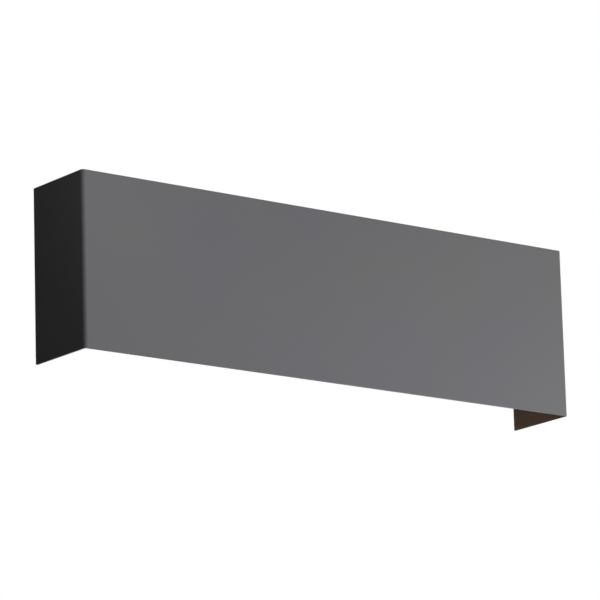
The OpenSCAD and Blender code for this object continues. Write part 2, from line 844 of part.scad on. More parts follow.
// The extrusion seen on edge: two light chambers back to back, with the driver's bay between them
module housing_section() {
  rise = housing_h / 2 - shelf_low_z;
  difference() {
    union() {
      translate([front_wall_in, -housing_h / 2])
        square([housing_t, housing_h]);
      for (side = [0, 1])
        mirror([0, side]) {
          translate([plate_t, shelf_low_z])
            square([front_wall_in - plate_t + eps, shelf_t]);
          translate([plate_t, shelf_low_z])
            square([housing_t, rise]);
          for (x = [rear_wall_in - eps, front_wall_in - lip_reach]) {
            translate([x, housing_h / 2 - lip_t])
              square([lip_reach + eps, lip_t]);
            translate([x, rib_z - lip_t])
              square([lip_reach + eps, lip_t]);
          }
          for (forward = port_forwards)
            translate([forward, port_z])
              screw_port(false);
        }
      for (i = [0 : fin_count - 1])
        translate([0, (housing_h - fin_t) * (i / (fin_count - 1) - 0.5)])
          fin();
    }
    for (side = [0, 1], forward = port_forwards)
      mirror([0, side])
        translate([forward, port_z])
          screw_port(true);
  }
}

module led_housing() color(aluminium) {
  difference() {
    along_wall(housing_w)
      housing_section();
    top_and_bottom() {
      for (x = board_screw_xs)
        translate([x, -chamber_mid, shelf_low_z - 1])
          cylinder(h = shelf_t + 2, r = m3_r);
      translate([lead_x, -lead_forward, shelf_low_z - 1])
        linear_extrude(shelf_t + 2)
          stadium(2 * (lead_r + lead_ease) + lead_gap, 2 * (lead_r + lead_ease));
    }
  }
}

// Bracket for the right end: a leaf over the housing's end and a foot on the plate
module end_bracket() {
  difference() {
    intersection() {
      translate([bracket_x, -plate_t, -bracket_h / 2])
        linear_extrude(bracket_h)
          mirror([1, 0])
            angle_outline(foot_w, housing_front - plate_t, bracket_t, bracket_bend_r);
      along_wall(cover_w)
        rounded_block(housing_front, bracket_h, bracket_corner_r);
    }
    for (forward = port_forwards, z = [-port_z, port_z])
      along_x(bracket_x - 1, forward, z)
        cylinder(h = bracket_t + 2, r = m3_r + stud_gap);
    for (z = [-foot_stud_z, foot_stud_z])
      out_from_wall(foot_stud_x, 0, z)
        cylinder(h = housing_front, r = m4_r + stud_gap);
    translate([bracket_x - 1, -chamber_mid, 0])
      rotate([90, 0, 90])
        linear_extrude(bracket_t + 2)
          stadium(window_d, window_h);
  }
}

module left_end_bracket() color(aluminium) {
  mirror([1, 0, 0])
    end_bracket();
}

module right_end_bracket() color(aluminium) {
  end_bracket();
}

module bracket_screws() color(zinc) {
  both_sides()
    for (forward = port_forwards, z = [-port_z, port_z])
      along_x(bracket_x + bracket_t, forward, z)
        pan_screw(port_bore_r, port_screw_l, screw_head_r, screw_head_h);
}

module bracket_nuts() color(zinc) {
  for (x = [-foot_stud_x, foot_stud_x], z = [-foot_stud_z, foot_stud_z])
    out_from_wall(x, plate_t + bracket_t, z)
      hex_nut(m4_r, m4_nut_h, m4_nut_across);
}

module led_board() {
  difference() {
    translate([-board_l / 2, -chamber_mid - board_w / 2, shelf_z])
      cube([board_l, board_w, board_t]);
    for (x = board_screw_xs)
      translate([x, -chamber_mid, shelf_z - 1])
        cylinder(h = board_t + 2, r = m3_r + stud_gap);
  }
}

module leds() {
  window_sink = 0.15;
  for (side = [-1, 1], i = [1 : led_half_count])
    translate([side * (i - 0.5) * led_pitch, -chamber_mid, shelf_z + board_t])
      difference() {
        translate([-led_l / 2, -led_w / 2, 0])
          cube([led_l, led_w, led_h]);
        translate([led_rim - led_l / 2, led_rim - led_w / 2, led_h - window_sink])
          cube([led_l - 2 * led_rim, led_w - 2 * led_rim, led_h]);
      }
}

module diffuser() {
  width = front_wall_in - rear_wall_in - 2 * diffuser_gap;
  translate([-housing_w / 2, -rear_wall_in - diffuser_gap - width, diffuser_z - diffuser_t])
    cube([housing_w, width, diffuser_t]);
}

// Two wires from the driver up through the shelf's slot to the pads at the board's edge
module led_wires() {
  pad_z = shelf_z + board_t + lead_r + thread_gap;
  pad_forward = chamber_mid - board_w / 2 + 2;
  for (lead = [[lead_x - lead_gap / 2, lead_far_z], [lead_x + lead_gap / 2, lead_near_z]])
    wire(route([[driver_right_x - wire_end, -lead_forward, lead[1]],
                [lead[0], -lead_forward, lead[1]],
                [lead[0], -lead_forward, pad_z],
                [lead[0] + 2, -pad_forward, pad_z]], 4), lead_r);
}

module upper_led_board() color([0.95, 0.95, 0.93]) {
  led_board();
}

module lower_led_board() color([0.95, 0.95, 0.93]) {
  mirror([0, 0, 1])
    led_board();
}

module upper_leds() color([0.98, 0.85, 0.35]) {
  leds();
}

module lower_leds() color([0.98, 0.85, 0.35]) {
  mirror([0, 0, 1])
    leds();
}

module led_board_screws() color(zinc) {
  top_and_bottom()
    for (x = board_screw_xs)
      translate([x, -chamber_mid, shelf_z + board_t])
        pan_screw(m3_r, board_t + shelf_t + 1, screw_head_r, screw_head_h);
}

module upper_diffuser() color([0.96, 0.96, 0.93]) {
  diffuser();
}

module lower_diffuser() color([0.96, 0.96, 0.93]) {
  mirror([0, 0, 1])
    diffuser();
}

module upper_led_wires() color([0.75, 0.15, 0.12]) {
  led_wires();
}

module lower_led_wires() color([0.15, 0.15, 0.15]) {
  mirror([0, 0, 1])
    led_wires();
}

// The lock screws stand in the bosses of the plate's lower ears, heads down
module lock_screws() color([0.15, 0.15, 0.16]) {
  grip = boss_h + plate_t + tab_t + 2 * slip;
  rim = 1;
  for (x = [-lock_x, lock_x])
    translate([x, -lock_forward, -ear_z - tab_t - 2 * slip])
      rotate([180, 0, 0])
        difference() {
          union() {
            cylinder(h = lock_head_h - rim, r = lock_head_r);
            translate([0, 0, lock_head_h - rim])
              cylinder(h = rim, r1 = lock_head_r, r2 = lock_head_r - rim);
            translate([0, 0, -grip])
              cylinder(h = grip + eps, r = m4_r - thread_gap);
          }
          translate([0, 0, lock_head_h * 0.3])
            cylinder(h = lock_head_h, r = lock_socket / sqrt(3), $fn = 6);
        }
}

// Front panel and both ends in one folded sheet, open to the wall, above and below
module front_cover() color(cover_colour) {
  translate([0, -wall_gap, -cover_h / 2])
    linear_extrude(cover_h)
      rotate(-90)
        folded_outline(cover_d, cover_w, cover_t, cover_bend_r);
}

// A tab for the right end: its flat leaf lies at z = 0 and the welded leaf hangs from the bend
module tab_body() {
  bend_r = tab_t + 0.5;
  translate([0, -tab_back, 0])
    rotate([90, 0, 0])
      linear_extrude(ear_d - tab_back)
        translate([cover_inner_x, tab_t])
          angle_outline(tab_w, tab_h, tab_t, bend_r);
}

module hanger_tabs() color(cover_colour) {
  both_sides()
    translate([0, 0, ear_z + slip])
      tab_body();
}

// The lower tabs' slots are open towards the wall, so the cover leaves its loosened screws behind
module lock_tabs() color(cover_colour) {
  both_sides()
    mirror([0, 0, 1])
      difference() {
        translate([0, 0, ear_z + slip])
          tab_body();
        translate([lock_x, -lock_forward, ear_z - 1])
          cylinder(h = tab_t + 3, r = lock_slot_w / 2);
        translate([lock_x - lock_slot_w / 2, -lock_forward, ear_z - 1])
          cube([lock_slot_w, ear_d, tab_t + 3]);
      }
}

wall_plate();
cable_grommet();
terminal_block();
terminal_clamps();
terminal_screws();
terminal_nut();
earth_washer();
earth_lug();
earth_nut();
earth_wire();
live_wire();
neutral_wire();
driver_case();
driver_lid();
driver_circuit_board();
driver_transformer();
driver_capacitors();
driver_nuts();
led_housing();
left_end_bracket();
right_end_bracket();
bracket_screws();
bracket_nuts();
upper_led_board();
lower_led_board();
upper_leds();
lower_leds();
led_board_screws();
upper_diffuser();
lower_diffuser();
upper_led_wires();
lower_led_wires();
lock_screws();
front_cover();
hanger_tabs();
lock_tabs();
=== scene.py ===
"""LED wall light that shines up and down, dressed around its packed parts, on a plain studio stage.

Metres, in the frame of the parts: the wall is the plane y = 0, the light stands out along -Y and +Z
is up. Each operator makes or finishes one piece, or one group of like pieces.
"""
import math

import bmesh
import bpy
from bpy.props import FloatProperty, FloatVectorProperty, PointerProperty
from mathutils import Matrix, Vector


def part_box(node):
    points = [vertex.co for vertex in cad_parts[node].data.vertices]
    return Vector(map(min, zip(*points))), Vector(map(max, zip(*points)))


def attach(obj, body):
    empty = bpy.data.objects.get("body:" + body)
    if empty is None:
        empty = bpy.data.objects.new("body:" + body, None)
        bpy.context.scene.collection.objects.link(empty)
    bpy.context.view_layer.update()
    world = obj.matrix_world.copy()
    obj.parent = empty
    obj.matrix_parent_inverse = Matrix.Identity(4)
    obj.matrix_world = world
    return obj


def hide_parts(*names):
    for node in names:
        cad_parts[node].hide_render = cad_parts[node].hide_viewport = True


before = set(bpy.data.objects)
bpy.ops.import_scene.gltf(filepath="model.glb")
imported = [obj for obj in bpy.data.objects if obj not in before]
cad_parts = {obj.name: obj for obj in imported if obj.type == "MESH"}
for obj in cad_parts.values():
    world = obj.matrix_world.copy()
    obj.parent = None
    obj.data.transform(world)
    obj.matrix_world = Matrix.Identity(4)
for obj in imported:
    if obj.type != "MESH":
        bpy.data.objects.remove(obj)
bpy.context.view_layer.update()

bl_info = {
    "name": "Wall light dressing",
    "version": (1, 0, 0),
    "blender": (4, 5, 0),
    "location": "View3D > Sidebar > Wall light",
    "description": "Dresses the packed parts of an up and down LED wall light and sets its stage",
    "category": "Object",
}

MM = 0.001
WELD = 0.002 * MM
QUARTER = math.pi / 2
FORWARD = (0, -1, 0)
WHITE = (1, 1, 1, 1)

# Sizes that the boxes of the parts don't tell, first the cover and its tabs
SHEET_T = 1.5 * MM
BEND_R = 2.2 * MM
BEND_STEPS = 10
TAB_LEAF_H = 14 * MM

# The LED boards, and the two leads that come through the housing to the pads of each
BOARD_SURFACE_Z = 18.6 * MM
LED_PITCH = 10 * MM
LED_L = 3.5 * MM
PAD_Y = -13.9 * MM
LEAD_R = 0.65 * MM
LEADS_X = (57.9 * MM, 60.1 * MM)
LEAD_LEVELS = (6.04 * MM, 2.4 * MM)
LEAD_LIFT = 0.7 * MM
LEAD_RUN = 2 * MM

# The mains wires, from the poles of the terminal block to the driver
WIRE_R = 0.9 * MM
WIRE_BEND = 4 * MM
POLE_DEPTH = 2.5 * MM
POLE_TURN = 2.8 * MM
WINDOW_BEFORE = 6.5 * MM
WINDOW_BEYOND = 6 * MM
DRIVER_EAR = 9 * MM
DRIVER_ENTRY = 2.5 * MM
DRIVER_WIRE_Y = -11.7 * MM

# The fasteners
M4_NUT_ACROSS = 7 * MM
M3_NUT_ACROSS = 5.5 * MM
NUT_BORE_SHARE = 0.293
PAN_HEAD_R = 2.6 * MM
PAN_HEAD_H = 1.8 * MM
PORT_SCREW_L = 8 * MM
BOARD_SCREW_L = 4.6 * MM

# The stage, in metres and degrees; the camera is worked out from the photograph
FLOOR_R = 12.0
FLOOR_FADE_START = 4.0
FLOOR_FADE_END = 11.0
CAMERA_PLACE = (-1.48912, -1.95060, -0.59807)
CAMERA_TURNS = ((-37.606, "Z"), (13.888, "X"), (1.628, "Y"), (90, "X"))
CAMERA_LENS = 251.57


# Shader nodes

def plug(socket, value):
    """Gives a socket a value, or the output of another node."""
    if isinstance(value, bpy.types.NodeSocket):
        socket.id_data.links.new(value, socket)
    else:
        socket.default_value = value


def plug_in(node, **inputs):
    """Plugs in a node's inputs, whose names here have underscores for blanks."""
    for name, value in inputs.items():
        plug(node.inputs[name.replace("_", " ")], value)
    return node


def add_node(nodes, kind, **inputs):
    """Adds a shader node with its inputs plugged in."""
    return plug_in(nodes.new("ShaderNode" + kind), **inputs)


def add_maths(nodes, operation, *values):
    """What a Math node works out from its values."""
    node = add_node(nodes, "Math")
    node.operation = operation
    for socket, value in zip(node.inputs, values):
        plug(socket, value)
    return node.outputs["Value"]


def add_blend(nodes, kind, shaders, **inputs):
    """Adds a node that adds or mixes what two shader nodes give."""
    node = add_node(nodes, kind, **inputs)
    for socket, shader in zip(list(node.inputs)[-2:], shaders):
        plug(socket, shader.outputs[0])
    return node


def seen_rays(nodes):
    """One for rays that the camera sees, directly or in a gloss or a glass, and nought for others."""
    path = add_node(nodes, "LightPath")
    seen = path.outputs["Is Camera Ray"]
    for ray in ("Is Glossy Ray", "Is Transmission Ray"):
        seen = add_maths(nodes, "MAXIMUM", seen, path.outputs[ray])
    return seen


# Finishes

class Finish:
    """A finish in the making: a shader, and patterns in metres that drive it."""

    def __init__(self, colour, roughness, metallic=0.0):
        self.material = bpy.data.materials.new("finish")
        self.material.use_nodes = True
        self.material.diffuse_color = (*colour, 1)
        self.nodes = self.material.node_tree.nodes
        self.shader = self.nodes["Principled BSDF"]
        self.place = self.add("TexCoord").outputs["Object"]
        self.colour = colour
        self.normal = None
        plug_in(self.shader, Base_Color=(*colour, 1), Roughness=roughness, Metallic=metallic)

    def add(self, kind, **inputs):
        """Adds a node to the finish."""
        return add_node(self.nodes, kind, **inputs)

    def scaled(self, size, middle=(0, 0, 0)):
        """Object coordinates from a middle, in lengths of the pattern: one, or one for each axis."""
        sizes = size if isinstance(size, tuple) else (size, size, size)
        start = [-place / length for place, length in zip(middle, sizes)]
        scale = [1 / length for length in sizes]
        return self.add("Mapping", Vector=self.place, Location=start, Scale=scale).outputs["Vector"]

    def length(self, vector):
        """Length of a vector."""
        node = self.add("VectorMath", Vector=vector)
        node.operation = "LENGTH"
        return node.outputs["Value"]

    def cloud(self, size, detail=2):
        """Soft noise."""
        return self.add("TexNoise", Vector=self.scaled(size), Scale=1, Detail=detail).outputs["Fac"]

    def flakes(self, size):
        """Crystals of one size, each with its own value."""
        cells = self.add("TexVoronoi", Vector=self.scaled(size), Scale=1)
        return self.add("SeparateColor", Color=cells.outputs["Color"]).outputs["Red"]

    def bands(self, size, axis, distortion=0.0):
        """Even bands across one axis."""
        wave = self.add("TexWave", Vector=self.scaled(size), Scale=1, Distortion=distortion)
        wave.bands_direction = axis
        return wave.outputs["Fac"]

    def row_of_spots(self, pitch, middle, reach):
        """Distance, in pitches, from the nearest spot of a row along X that is centred on a place."""
        place = self.add("SeparateXYZ", Vector=self.scaled(pitch, middle)).outputs
        across = add_maths(self.nodes, "SUBTRACT", 0.5, add_maths(self.nodes, "PINGPONG", place["X"], 0.5))
        beyond = add_maths(self.nodes, "ABSOLUTE", place["X"])
        past = self.ranged(beyond, 0, 1, reach / pitch, reach / pitch + 1)
        return self.length(self.add("CombineXYZ", X=across, Y=place["Y"], Z=past).outputs["Vector"])

    def ranged(self, pattern, low, high, start=0.3, end=0.7):
        """The pattern's values between start and end, brought to lie between low and high."""
        ranger = self.add("MapRange", Value=pattern, From_Min=start, From_Max=end, To_Min=low, To_Max=high)
        return ranger.outputs["Result"]

    def tint(self, pattern, other, start=0.3, end=0.7):
        """Mixes another colour into the base colour where the pattern is high."""
        mix = self.add("Mix", Factor=self.ranged(pattern, 0, 1, start, end))
        mix.data_type = "RGBA"
        plug_in(mix, A=(*self.colour, 1), B=(*other, 1))
        plug_in(self.shader, Base_Color=mix.outputs["Result"])

    def roughen(self, pattern, low, high):
        """Lets the pattern drive the roughness."""
        plug_in(self.shader, Roughness=self.ranged(pattern, low, high))

    def rounded(self, radius):
        """Lets the light catch the edges as if they were rounded to the radius."""
        edge = self.add("Bevel", Radius=radius)
        edge.samples = 4
        self.normal = edge.outputs["Normal"]
        plug_in(self.shader, Normal=self.normal)

    def raised(self, pattern, height, strength):
        """Raises the surface by the pattern."""
        bump = self.add("Bump", Height=pattern, Distance=height, Strength=strength)
        if self.normal:
            plug_in(bump, Normal=self.normal)
        self.normal = bump.outputs["Normal"]
        plug_in(self.shader, Normal=self.normal)


def shifted(colour, factor):
    """The colour, lighter or darker."""
    return tuple(min(1.0, channel * factor) for channel in colour)


def powder_coat():
    looks = bpy.context.scene.wall_light_cover
    finish = Finish(looks.paint, looks.roughness)
    plug_in(finish.shader, Specular_IOR_Level=looks.gloss)
    finish.tint(finish.cloud(70 * MM, detail=1), (0.158, 0.157, 0.160))
    finish.roughen(finish.cloud(6 * MM, detail=3), looks.roughness - 0.02, looks.roughness + 0.02)
    finish.raised(finish.cloud(looks.grain, detail=3), 0.02 * MM, 0.3)
    return finish


def galvanised_steel():
    colour = bpy.context.scene.wall_light_metals.zinc
    finish = Finish(colour, 0.4, metallic=1.0)
    spangle = finish.flakes(3.2 * MM)
    finish.tint(spangle, shifted(colour, 0.82), 0.0, 1.0)
    finish.roughen(spangle, 0.48, 0.60)
    finish.rounded(0.25 * MM)
    finish.raised(finish.cloud(0.8 * MM, detail=4), 0.02 * MM, 0.4)
    return finish


def anodised_aluminium():
    colour = bpy.context.scene.wall_light_metals.aluminium
    finish = Finish(colour, 0.4, metallic=1.0)
    die_lines = finish.cloud((120 * MM, 0.35 * MM, 0.35 * MM), detail=3)
    finish.tint(die_lines, shifted(colour, 0.86))
    finish.roughen(die_lines, 0.40, 0.52)
    finish.rounded(0.2 * MM)
    finish.raised(die_lines, 0.01 * MM, 0.5)
    return finish


def rolled_aluminium():
    colour = bpy.context.scene.wall_light_metals.aluminium
    finish = Finish(shifted(colour, 0.86), 0.42, metallic=1.0)
    grain = finish.cloud((0.3 * MM, 0.3 * MM, 18 * MM), detail=3)
    finish.tint(grain, shifted(colour, 0.72))
    finish.roughen(grain, 0.42, 0.54)
    finish.rounded(0.25 * MM)
    finish.raised(grain, 0.01 * MM, 0.4)
    return finish


def plated_metal(colour, tarnish, roughness, edge=0.0):
    """Small bright metal parts, with a faint cloudy tarnish."""
    finish = Finish(colour, roughness, metallic=1.0)
    finish.tint(finish.cloud(2.5 * MM, detail=3), tarnish, 0.35, 0.75)
    finish.roughen(finish.cloud(0.9 * MM), roughness - 0.03, roughness + 0.05)
    if edge:
        finish.rounded(edge)
    return finish


def zinc_plate(roughness=0.30, edge=0.0):
    colour = shifted(bpy.context.scene.wall_light_metals.zinc, 1.1)
    return plated_metal(colour, (0.62, 0.65, 0.68), roughness, edge)


def stamped_zinc():
    return zinc_plate(0.32, 0.12 * MM)


def brass(edge=0.0):
    return plated_metal(bpy.context.scene.wall_light_metals.brass, (0.55, 0.40, 0.18), 0.28, edge)


def bored_brass():
    return brass(0.12 * MM)


def tin_plate():
    return plated_metal((0.74, 0.74, 0.72), (0.62, 0.61, 0.58), 0.36)


def black_oxide():
    finish = Finish((0.035, 0.035, 0.038), 0.42, metallic=0.6)
    finish.tint(finish.cloud(1.5 * MM, detail=4), (0.07, 0.068, 0.066), 0.5, 0.8)
    finish.roughen(finish.cloud(0.7 * MM), 0.36, 0.50)
    return finish


def moulded_plastic(colour, roughness, grain, depth):
    """Plastic from a finely eroded mould."""
    finish = Finish(colour, roughness)
    finish.tint(finish.cloud(9 * MM), shifted(colour, 0.95))
    finish.roughen(finish.cloud(2 * MM), roughness - 0.04, roughness + 0.06)
    finish.rounded(0.25 * MM)
    finish.raised(finish.cloud(grain), depth, 0.5)
    return finish


def nylon():
    return moulded_plastic((0.80, 0.78, 0.73), 0.42, 1.2 * MM, 0.01 * MM)


def driver_moulding():
    return moulded_plastic((0.78, 0.78, 0.77), 0.5, 0.35 * MM, 0.03 * MM)


def led_package():
    return moulded_plastic((0.85, 0.85, 0.83), 0.4, 0.3 * MM, 0.01 * MM)


def grommet_rubber():
    finish = Finish((0.028, 0.028, 0.029), 0.62)
    finish.tint(finish.cloud(3 * MM, detail=4), (0.05, 0.05, 0.05), 0.45, 0.8)
    finish.raised(finish.cloud(0.25 * MM), 0.02 * MM, 0.6)
    return finish


def circuit_laminate():
    finish = Finish((0.03, 0.16, 0.07), 0.35)
    weave = finish.bands(0.6 * MM, "X", 1.0)
    finish.tint(weave, (0.04, 0.20, 0.09), 0.0, 1.0)
    finish.roughen(finish.cloud(4 * MM), 0.28, 0.42)
    finish.raised(weave, 0.01 * MM, 0.4)
    return finish


def white_solder_mask():
    finish = Finish((0.82, 0.82, 0.80), 0.32)
    tracks = finish.bands(4.5 * MM, "Y")
    finish.tint(tracks, (0.76, 0.77, 0.74), 0.45, 0.55)
    finish.roughen(finish.cloud(3 * MM), 0.26, 0.40)
    finish.raised(tracks, 0.03 * MM, 0.6)
    return finish


def led_phosphor():
    looks = bpy.context.scene.wall_light_glow
    finish = Finish((0.90, 0.66, 0.13), 0.35)
    finish.tint(finish.cloud(0.5 * MM, detail=4), (0.94, 0.74, 0.22))
    finish.raised(finish.cloud(0.15 * MM), 0.01 * MM, 0.5)
    plug_in(finish.shader, Emission_Color=(*looks.colour, 1), Emission_Strength=looks.strength)
    return finish


def opal_acrylic():
    """Opal sheet, lit from behind by the row of LEDs."""
    looks = bpy.context.scene.wall_light_glow
    finish = Finish((0.86, 0.86, 0.83), 0.38)
    finish.tint(finish.cloud(20 * MM), (0.82, 0.82, 0.79))
    finish.roughen(finish.cloud(5 * MM), 0.33, 0.43)
    finish.raised(finish.cloud(0.6 * MM), 0.01 * MM, 0.3)
    low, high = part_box("upper_leds")
    spots = finish.row_of_spots(LED_PITCH, (low + high) / 2, (high.x - low.x) / 2)
    glow = finish.ranged(spots, looks.strength, 0.25 * looks.strength, 0.15, 1.1)
    plug_in(finish.shader, Emission_Color=(*looks.colour, 1), Emission_Strength=glow)
    return finish


def wire_sleeve(colour, roughness=0.38):
    """A wire's sleeve: smooth, with a little dust."""
    finish = Finish(colour, roughness)
    finish.tint(finish.cloud(4 * MM, detail=4), shifted(colour, 1.25))
    finish.roughen(finish.cloud(1.2 * MM), roughness - 0.05, roughness + 0.12)
    return finish


def live_sleeve():
    return wire_sleeve((0.13, 0.055, 0.02))


def neutral_sleeve():
    return wire_sleeve((0.02, 0.09, 0.36))


def lead_sleeve():
    return wire_sleeve((0.38, 0.02, 0.02), 0.5)


def black_lead_sleeve():
    return wire_sleeve((0.02, 0.02, 0.022), 0.5)


def earth_sleeve():
    """Green with two yellow stripes that follow the wire."""
    finish = Finish((0.05, 0.26, 0.04), 0.38)
    lay = finish.add("TexCoord").outputs["UV"]
    around = finish.add("SeparateXYZ", Vector=lay).outputs["X"]
    turns = add_maths(finish.nodes, "MULTIPLY", around, 2 * math.tau)
    finish.tint(add_maths(finish.nodes, "SINE", turns), (0.72, 0.58, 0.02), -0.1, 0.1)
    finish.roughen(finish.cloud(1.2 * MM), 0.33, 0.48)
    return finish


def ferrite():
    finish = Finish((0.045, 0.045, 0.048), 0.45, metallic=0.2)
    finish.tint(finish.cloud(1.5 * MM, detail=4), (0.08, 0.08, 0.082), 0.45, 0.75)
    finish.raised(finish.cloud(0.4 * MM), 0.03 * MM, 0.5)
    return finish


def winding_tape():
    finish = Finish((0.62, 0.50, 0.05), 0.25)
    layers = finish.bands(2.4 * MM, "Y", 0.6)
    finish.tint(layers, (0.70, 0.58, 0.10), 0.2, 0.8)
    finish.raised(layers, 0.03 * MM, 0.5)
    return finish


def shrink_sleeve():
    finish = Finish((0.018, 0.025, 0.09), 0.28)
    finish.tint(finish.cloud(3 * MM, detail=3), (0.03, 0.04, 0.12), 0.4, 0.8)
    finish.roughen(finish.cloud(1 * MM), 0.22, 0.36)
    return finish


def floor_paint():
    """Pale paint, which fades into the white background far from the light."""
    looks = bpy.context.scene.wall_light_stage
    finish = Finish(looks.floor, 0.9)
    finish.tint(finish.cloud(0.3, detail=3), shifted(looks.floor, 0.97))
    seen = seen_rays(finish.nodes)
    pale = finish.add("Emission", Strength=finish.ranged(seen, 0, looks.floor_glow, 0, 1))
    white = finish.add("Emission", Strength=seen)
    near = add_blend(finish.nodes, "AddShader", (finish.shader, pale))
    distance = finish.length(finish.scaled((1, 1, 1000)))
    far = finish.ranged(distance, 0, 1, FLOOR_FADE_START, FLOOR_FADE_END)
    faded = add_blend(finish.nodes, "MixShader", (near, white), Fac=far)
    plug_in(finish.nodes["Material Output"], Surface=faded.outputs["Shader"])
    return finish


def finish_of(maker):
    """The finish that a function makes, made once and named after it."""
    name = maker.__name__ + "_made"
    if name not in bpy.data.materials:
        maker().material.name = name
    return bpy.data.materials[name]


# Pieces

def dress(maker, *nodes):
    """Gives parts whose shape is right their finish."""
    for node in nodes:
        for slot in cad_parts[node].material_slots:
            slot.material = finish_of(maker)


def add_object(name, bm, makers):
    """Turns a finished shape into an object with its finishes."""
    mesh = bpy.data.meshes.new(name)
    bm.to_mesh(mesh)
    bm.free()
    for maker in makers:
        mesh.materials.append(finish_of(maker))
    made = bpy.data.objects.new(name, mesh)
    bpy.context.scene.collection.objects.link(made)
    return made


def add_piece(name, bm, makers, replaced=(), body="wall_unit"):
    """Makes a shape a piece that rides on its body and stands for the parts it replaces."""
    bmesh.ops.remove_doubles(bm, verts=bm.verts, dist=WELD)
    bmesh.ops.recalc_face_normals(bm, faces=bm.faces)
    piece = add_object(name, bm, makers)
    piece.data.shade_smooth()
    piece.data.set_sharp_from_angle(angle=math.radians(38))
    piece.modifiers.new("Even shading", "WEIGHTED_NORMAL").keep_sharp = True
    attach(piece, body)
    if replaced:
        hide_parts(*replaced)


def push(bm, face, move):
    """Extrudes a face by a move and returns the face at its new end."""
    made = bmesh.ops.extrude_face_region(bm, geom=[face])["geom"]
    end = next(part for part in made if isinstance(part, bmesh.types.BMFace))
    bmesh.ops.translate(bm, verts=end.verts, vec=move)
    return end


def swing(bm, face, centre):
    """Carries a face a quarter round an upright axis and returns the face at its new end."""
    geom = [face, *face.edges, *face.verts]
    made = bmesh.ops.spin(bm, geom=geom, cent=centre, axis=(0, 0, 1), angle=QUARTER, steps=BEND_STEPS)
    return next(part for part in made["geom_last"] if isinstance(part, bmesh.types.BMFace))


def soften(bm, width, segments=2, angle=50):
    """Bevels the edges that turn by more than the angle."""
    corners = [edge for edge in bm.edges
               if edge.is_manifold and edge.calc_face_angle() > math.radians(angle)]
    bmesh.ops.bevel(bm, geom=corners, offset=width, offset_type="OFFSET", segments=segments,
                    profile=0.5, affect="EDGES", clamp_overlap=True, material=-1)


def block(bm, low, high):
    """Adds a block between two corners."""
    low, high = Vector(low), Vector(high)
    size = Matrix.Diagonal((*(high - low), 1))
    return bmesh.ops.create_cube(bm, size=1, matrix=Matrix.Translation((low + high) / 2) @ size)["verts"]


def lathe(outline, steps=40, closed=False):
    """Spins an outline of (radius, height) about +Z."""
    bm = bmesh.new()
    verts = [bm.verts.new((radius, 0, height)) for radius, height in outline]
    for start, end in zip(verts, verts[1:] + verts[:closed]):
        bm.edges.new((start, end))
    bmesh.ops.spin(bm, geom=bm.verts[:] + bm.edges[:], cent=(0, 0, 0), axis=(0, 0, 1),
                   angle=math.tau, steps=steps, use_merge=True)
    bmesh.ops.remove_doubles(bm, verts=bm.verts, dist=WELD)
    return bm


def dome(radius, low, high, opening, steps=5):
    """Outline of a domed head, from its rim up to the opening in its top."""
    return [(opening + (radius - opening) * math.cos(turn), low + (high - low) * math.sin(turn))
            for turn in (QUARTER * i / steps for i in range(steps + 1))]


def sink(bm, outline, top, depth, taper):
    """Closes a head's open top with a recess of the outline, whose walls lean in by the taper."""
    rim = [edge for edge in bm.edges if edge.is_boundary and edge.verts[0].co.z > top - WELD]
    floor = bm.faces.new([bm.verts.new((x, y, top)) for x, y in outline])
    bmesh.ops.bridge_loops(bm, edges=rim + floor.edges[:])
    floor = push(bm, floor, (0, 0, -depth))
    bmesh.ops.scale(bm, verts=floor.verts, vec=(taper, taper, 1))


def cross_outline(reach, width):
    """A cross recess seen from above."""
    arm = [Vector((reach, -width / 2)), Vector((reach, width / 2)), Vector((width / 2, width / 2))]
    return [Matrix.Rotation(QUARTER * i, 2) @ corner for i in range(4) for corner in arm]


def hex_outline(across):
    """A hexagon seen from above."""
    return [Vector((across / math.sqrt(3), 0)) @ Matrix.Rotation(math.pi / 3 * i, 2) for i in range(6)]


def hex_nut(across, height):
    """A nut on the plane z = 0, with corners chamfered by a cone and a countersunk bore."""
    lead, bore_r, face_r = 0.25 * MM, NUT_BORE_SHARE * across, 0.47 * across
    mouth_r = bore_r + lead
    bm = bmesh.new()
    bmesh.ops.create_circle(bm, segments=6, radius=across / math.sqrt(3))
    bmesh.ops.subdivide_edges(bm, edges=bm.edges[:], cuts=5)
    for vert in bm.verts:
        vert.co.z = cone_cut(vert, face_r)
    foot = bm.edges[:]
    ring, verts = draw_ring(bm, foot)
    for vert in verts:
        vert.co.z = height - cone_cut(vert, face_r)
    for radius, level in ((face_r, height), (mouth_r, height), (bore_r, height - lead), (bore_r, lead),
                          (mouth_r, 0), (face_r, 0)):
        ring, verts = draw_ring(bm, ring)
        for vert in verts:
            vert.co = (*vert.co.xy.normalized() * radius, level)
    bmesh.ops.bridge_loops(bm, edges=foot + ring)
    return bm


def cone_cut(vert, face_r):
    """How deep a nut's chamfer is cut at a point of its outline."""
    return (vert.co.xy.length - face_r) * math.tan(math.radians(30))


def draw_ring(bm, ring):
    """Extrudes a ring of edges, still in its old place, and returns the new ring and its points."""
    made = bmesh.ops.extrude_edge_only(bm, edges=ring)["geom"]
    ring = [part for part in made if isinstance(part, bmesh.types.BMEdge) and part.is_boundary]
    return ring, {vert for edge in ring for vert in edge.verts}


def laid(place, axis):
    """The move that lays a shape's +Z along an axis and takes its origin to a place."""
    turn = Vector((0, 0, 1)).rotation_difference(Vector(axis)).to_matrix().to_4x4()
    return Matrix.Translation(place) @ turn


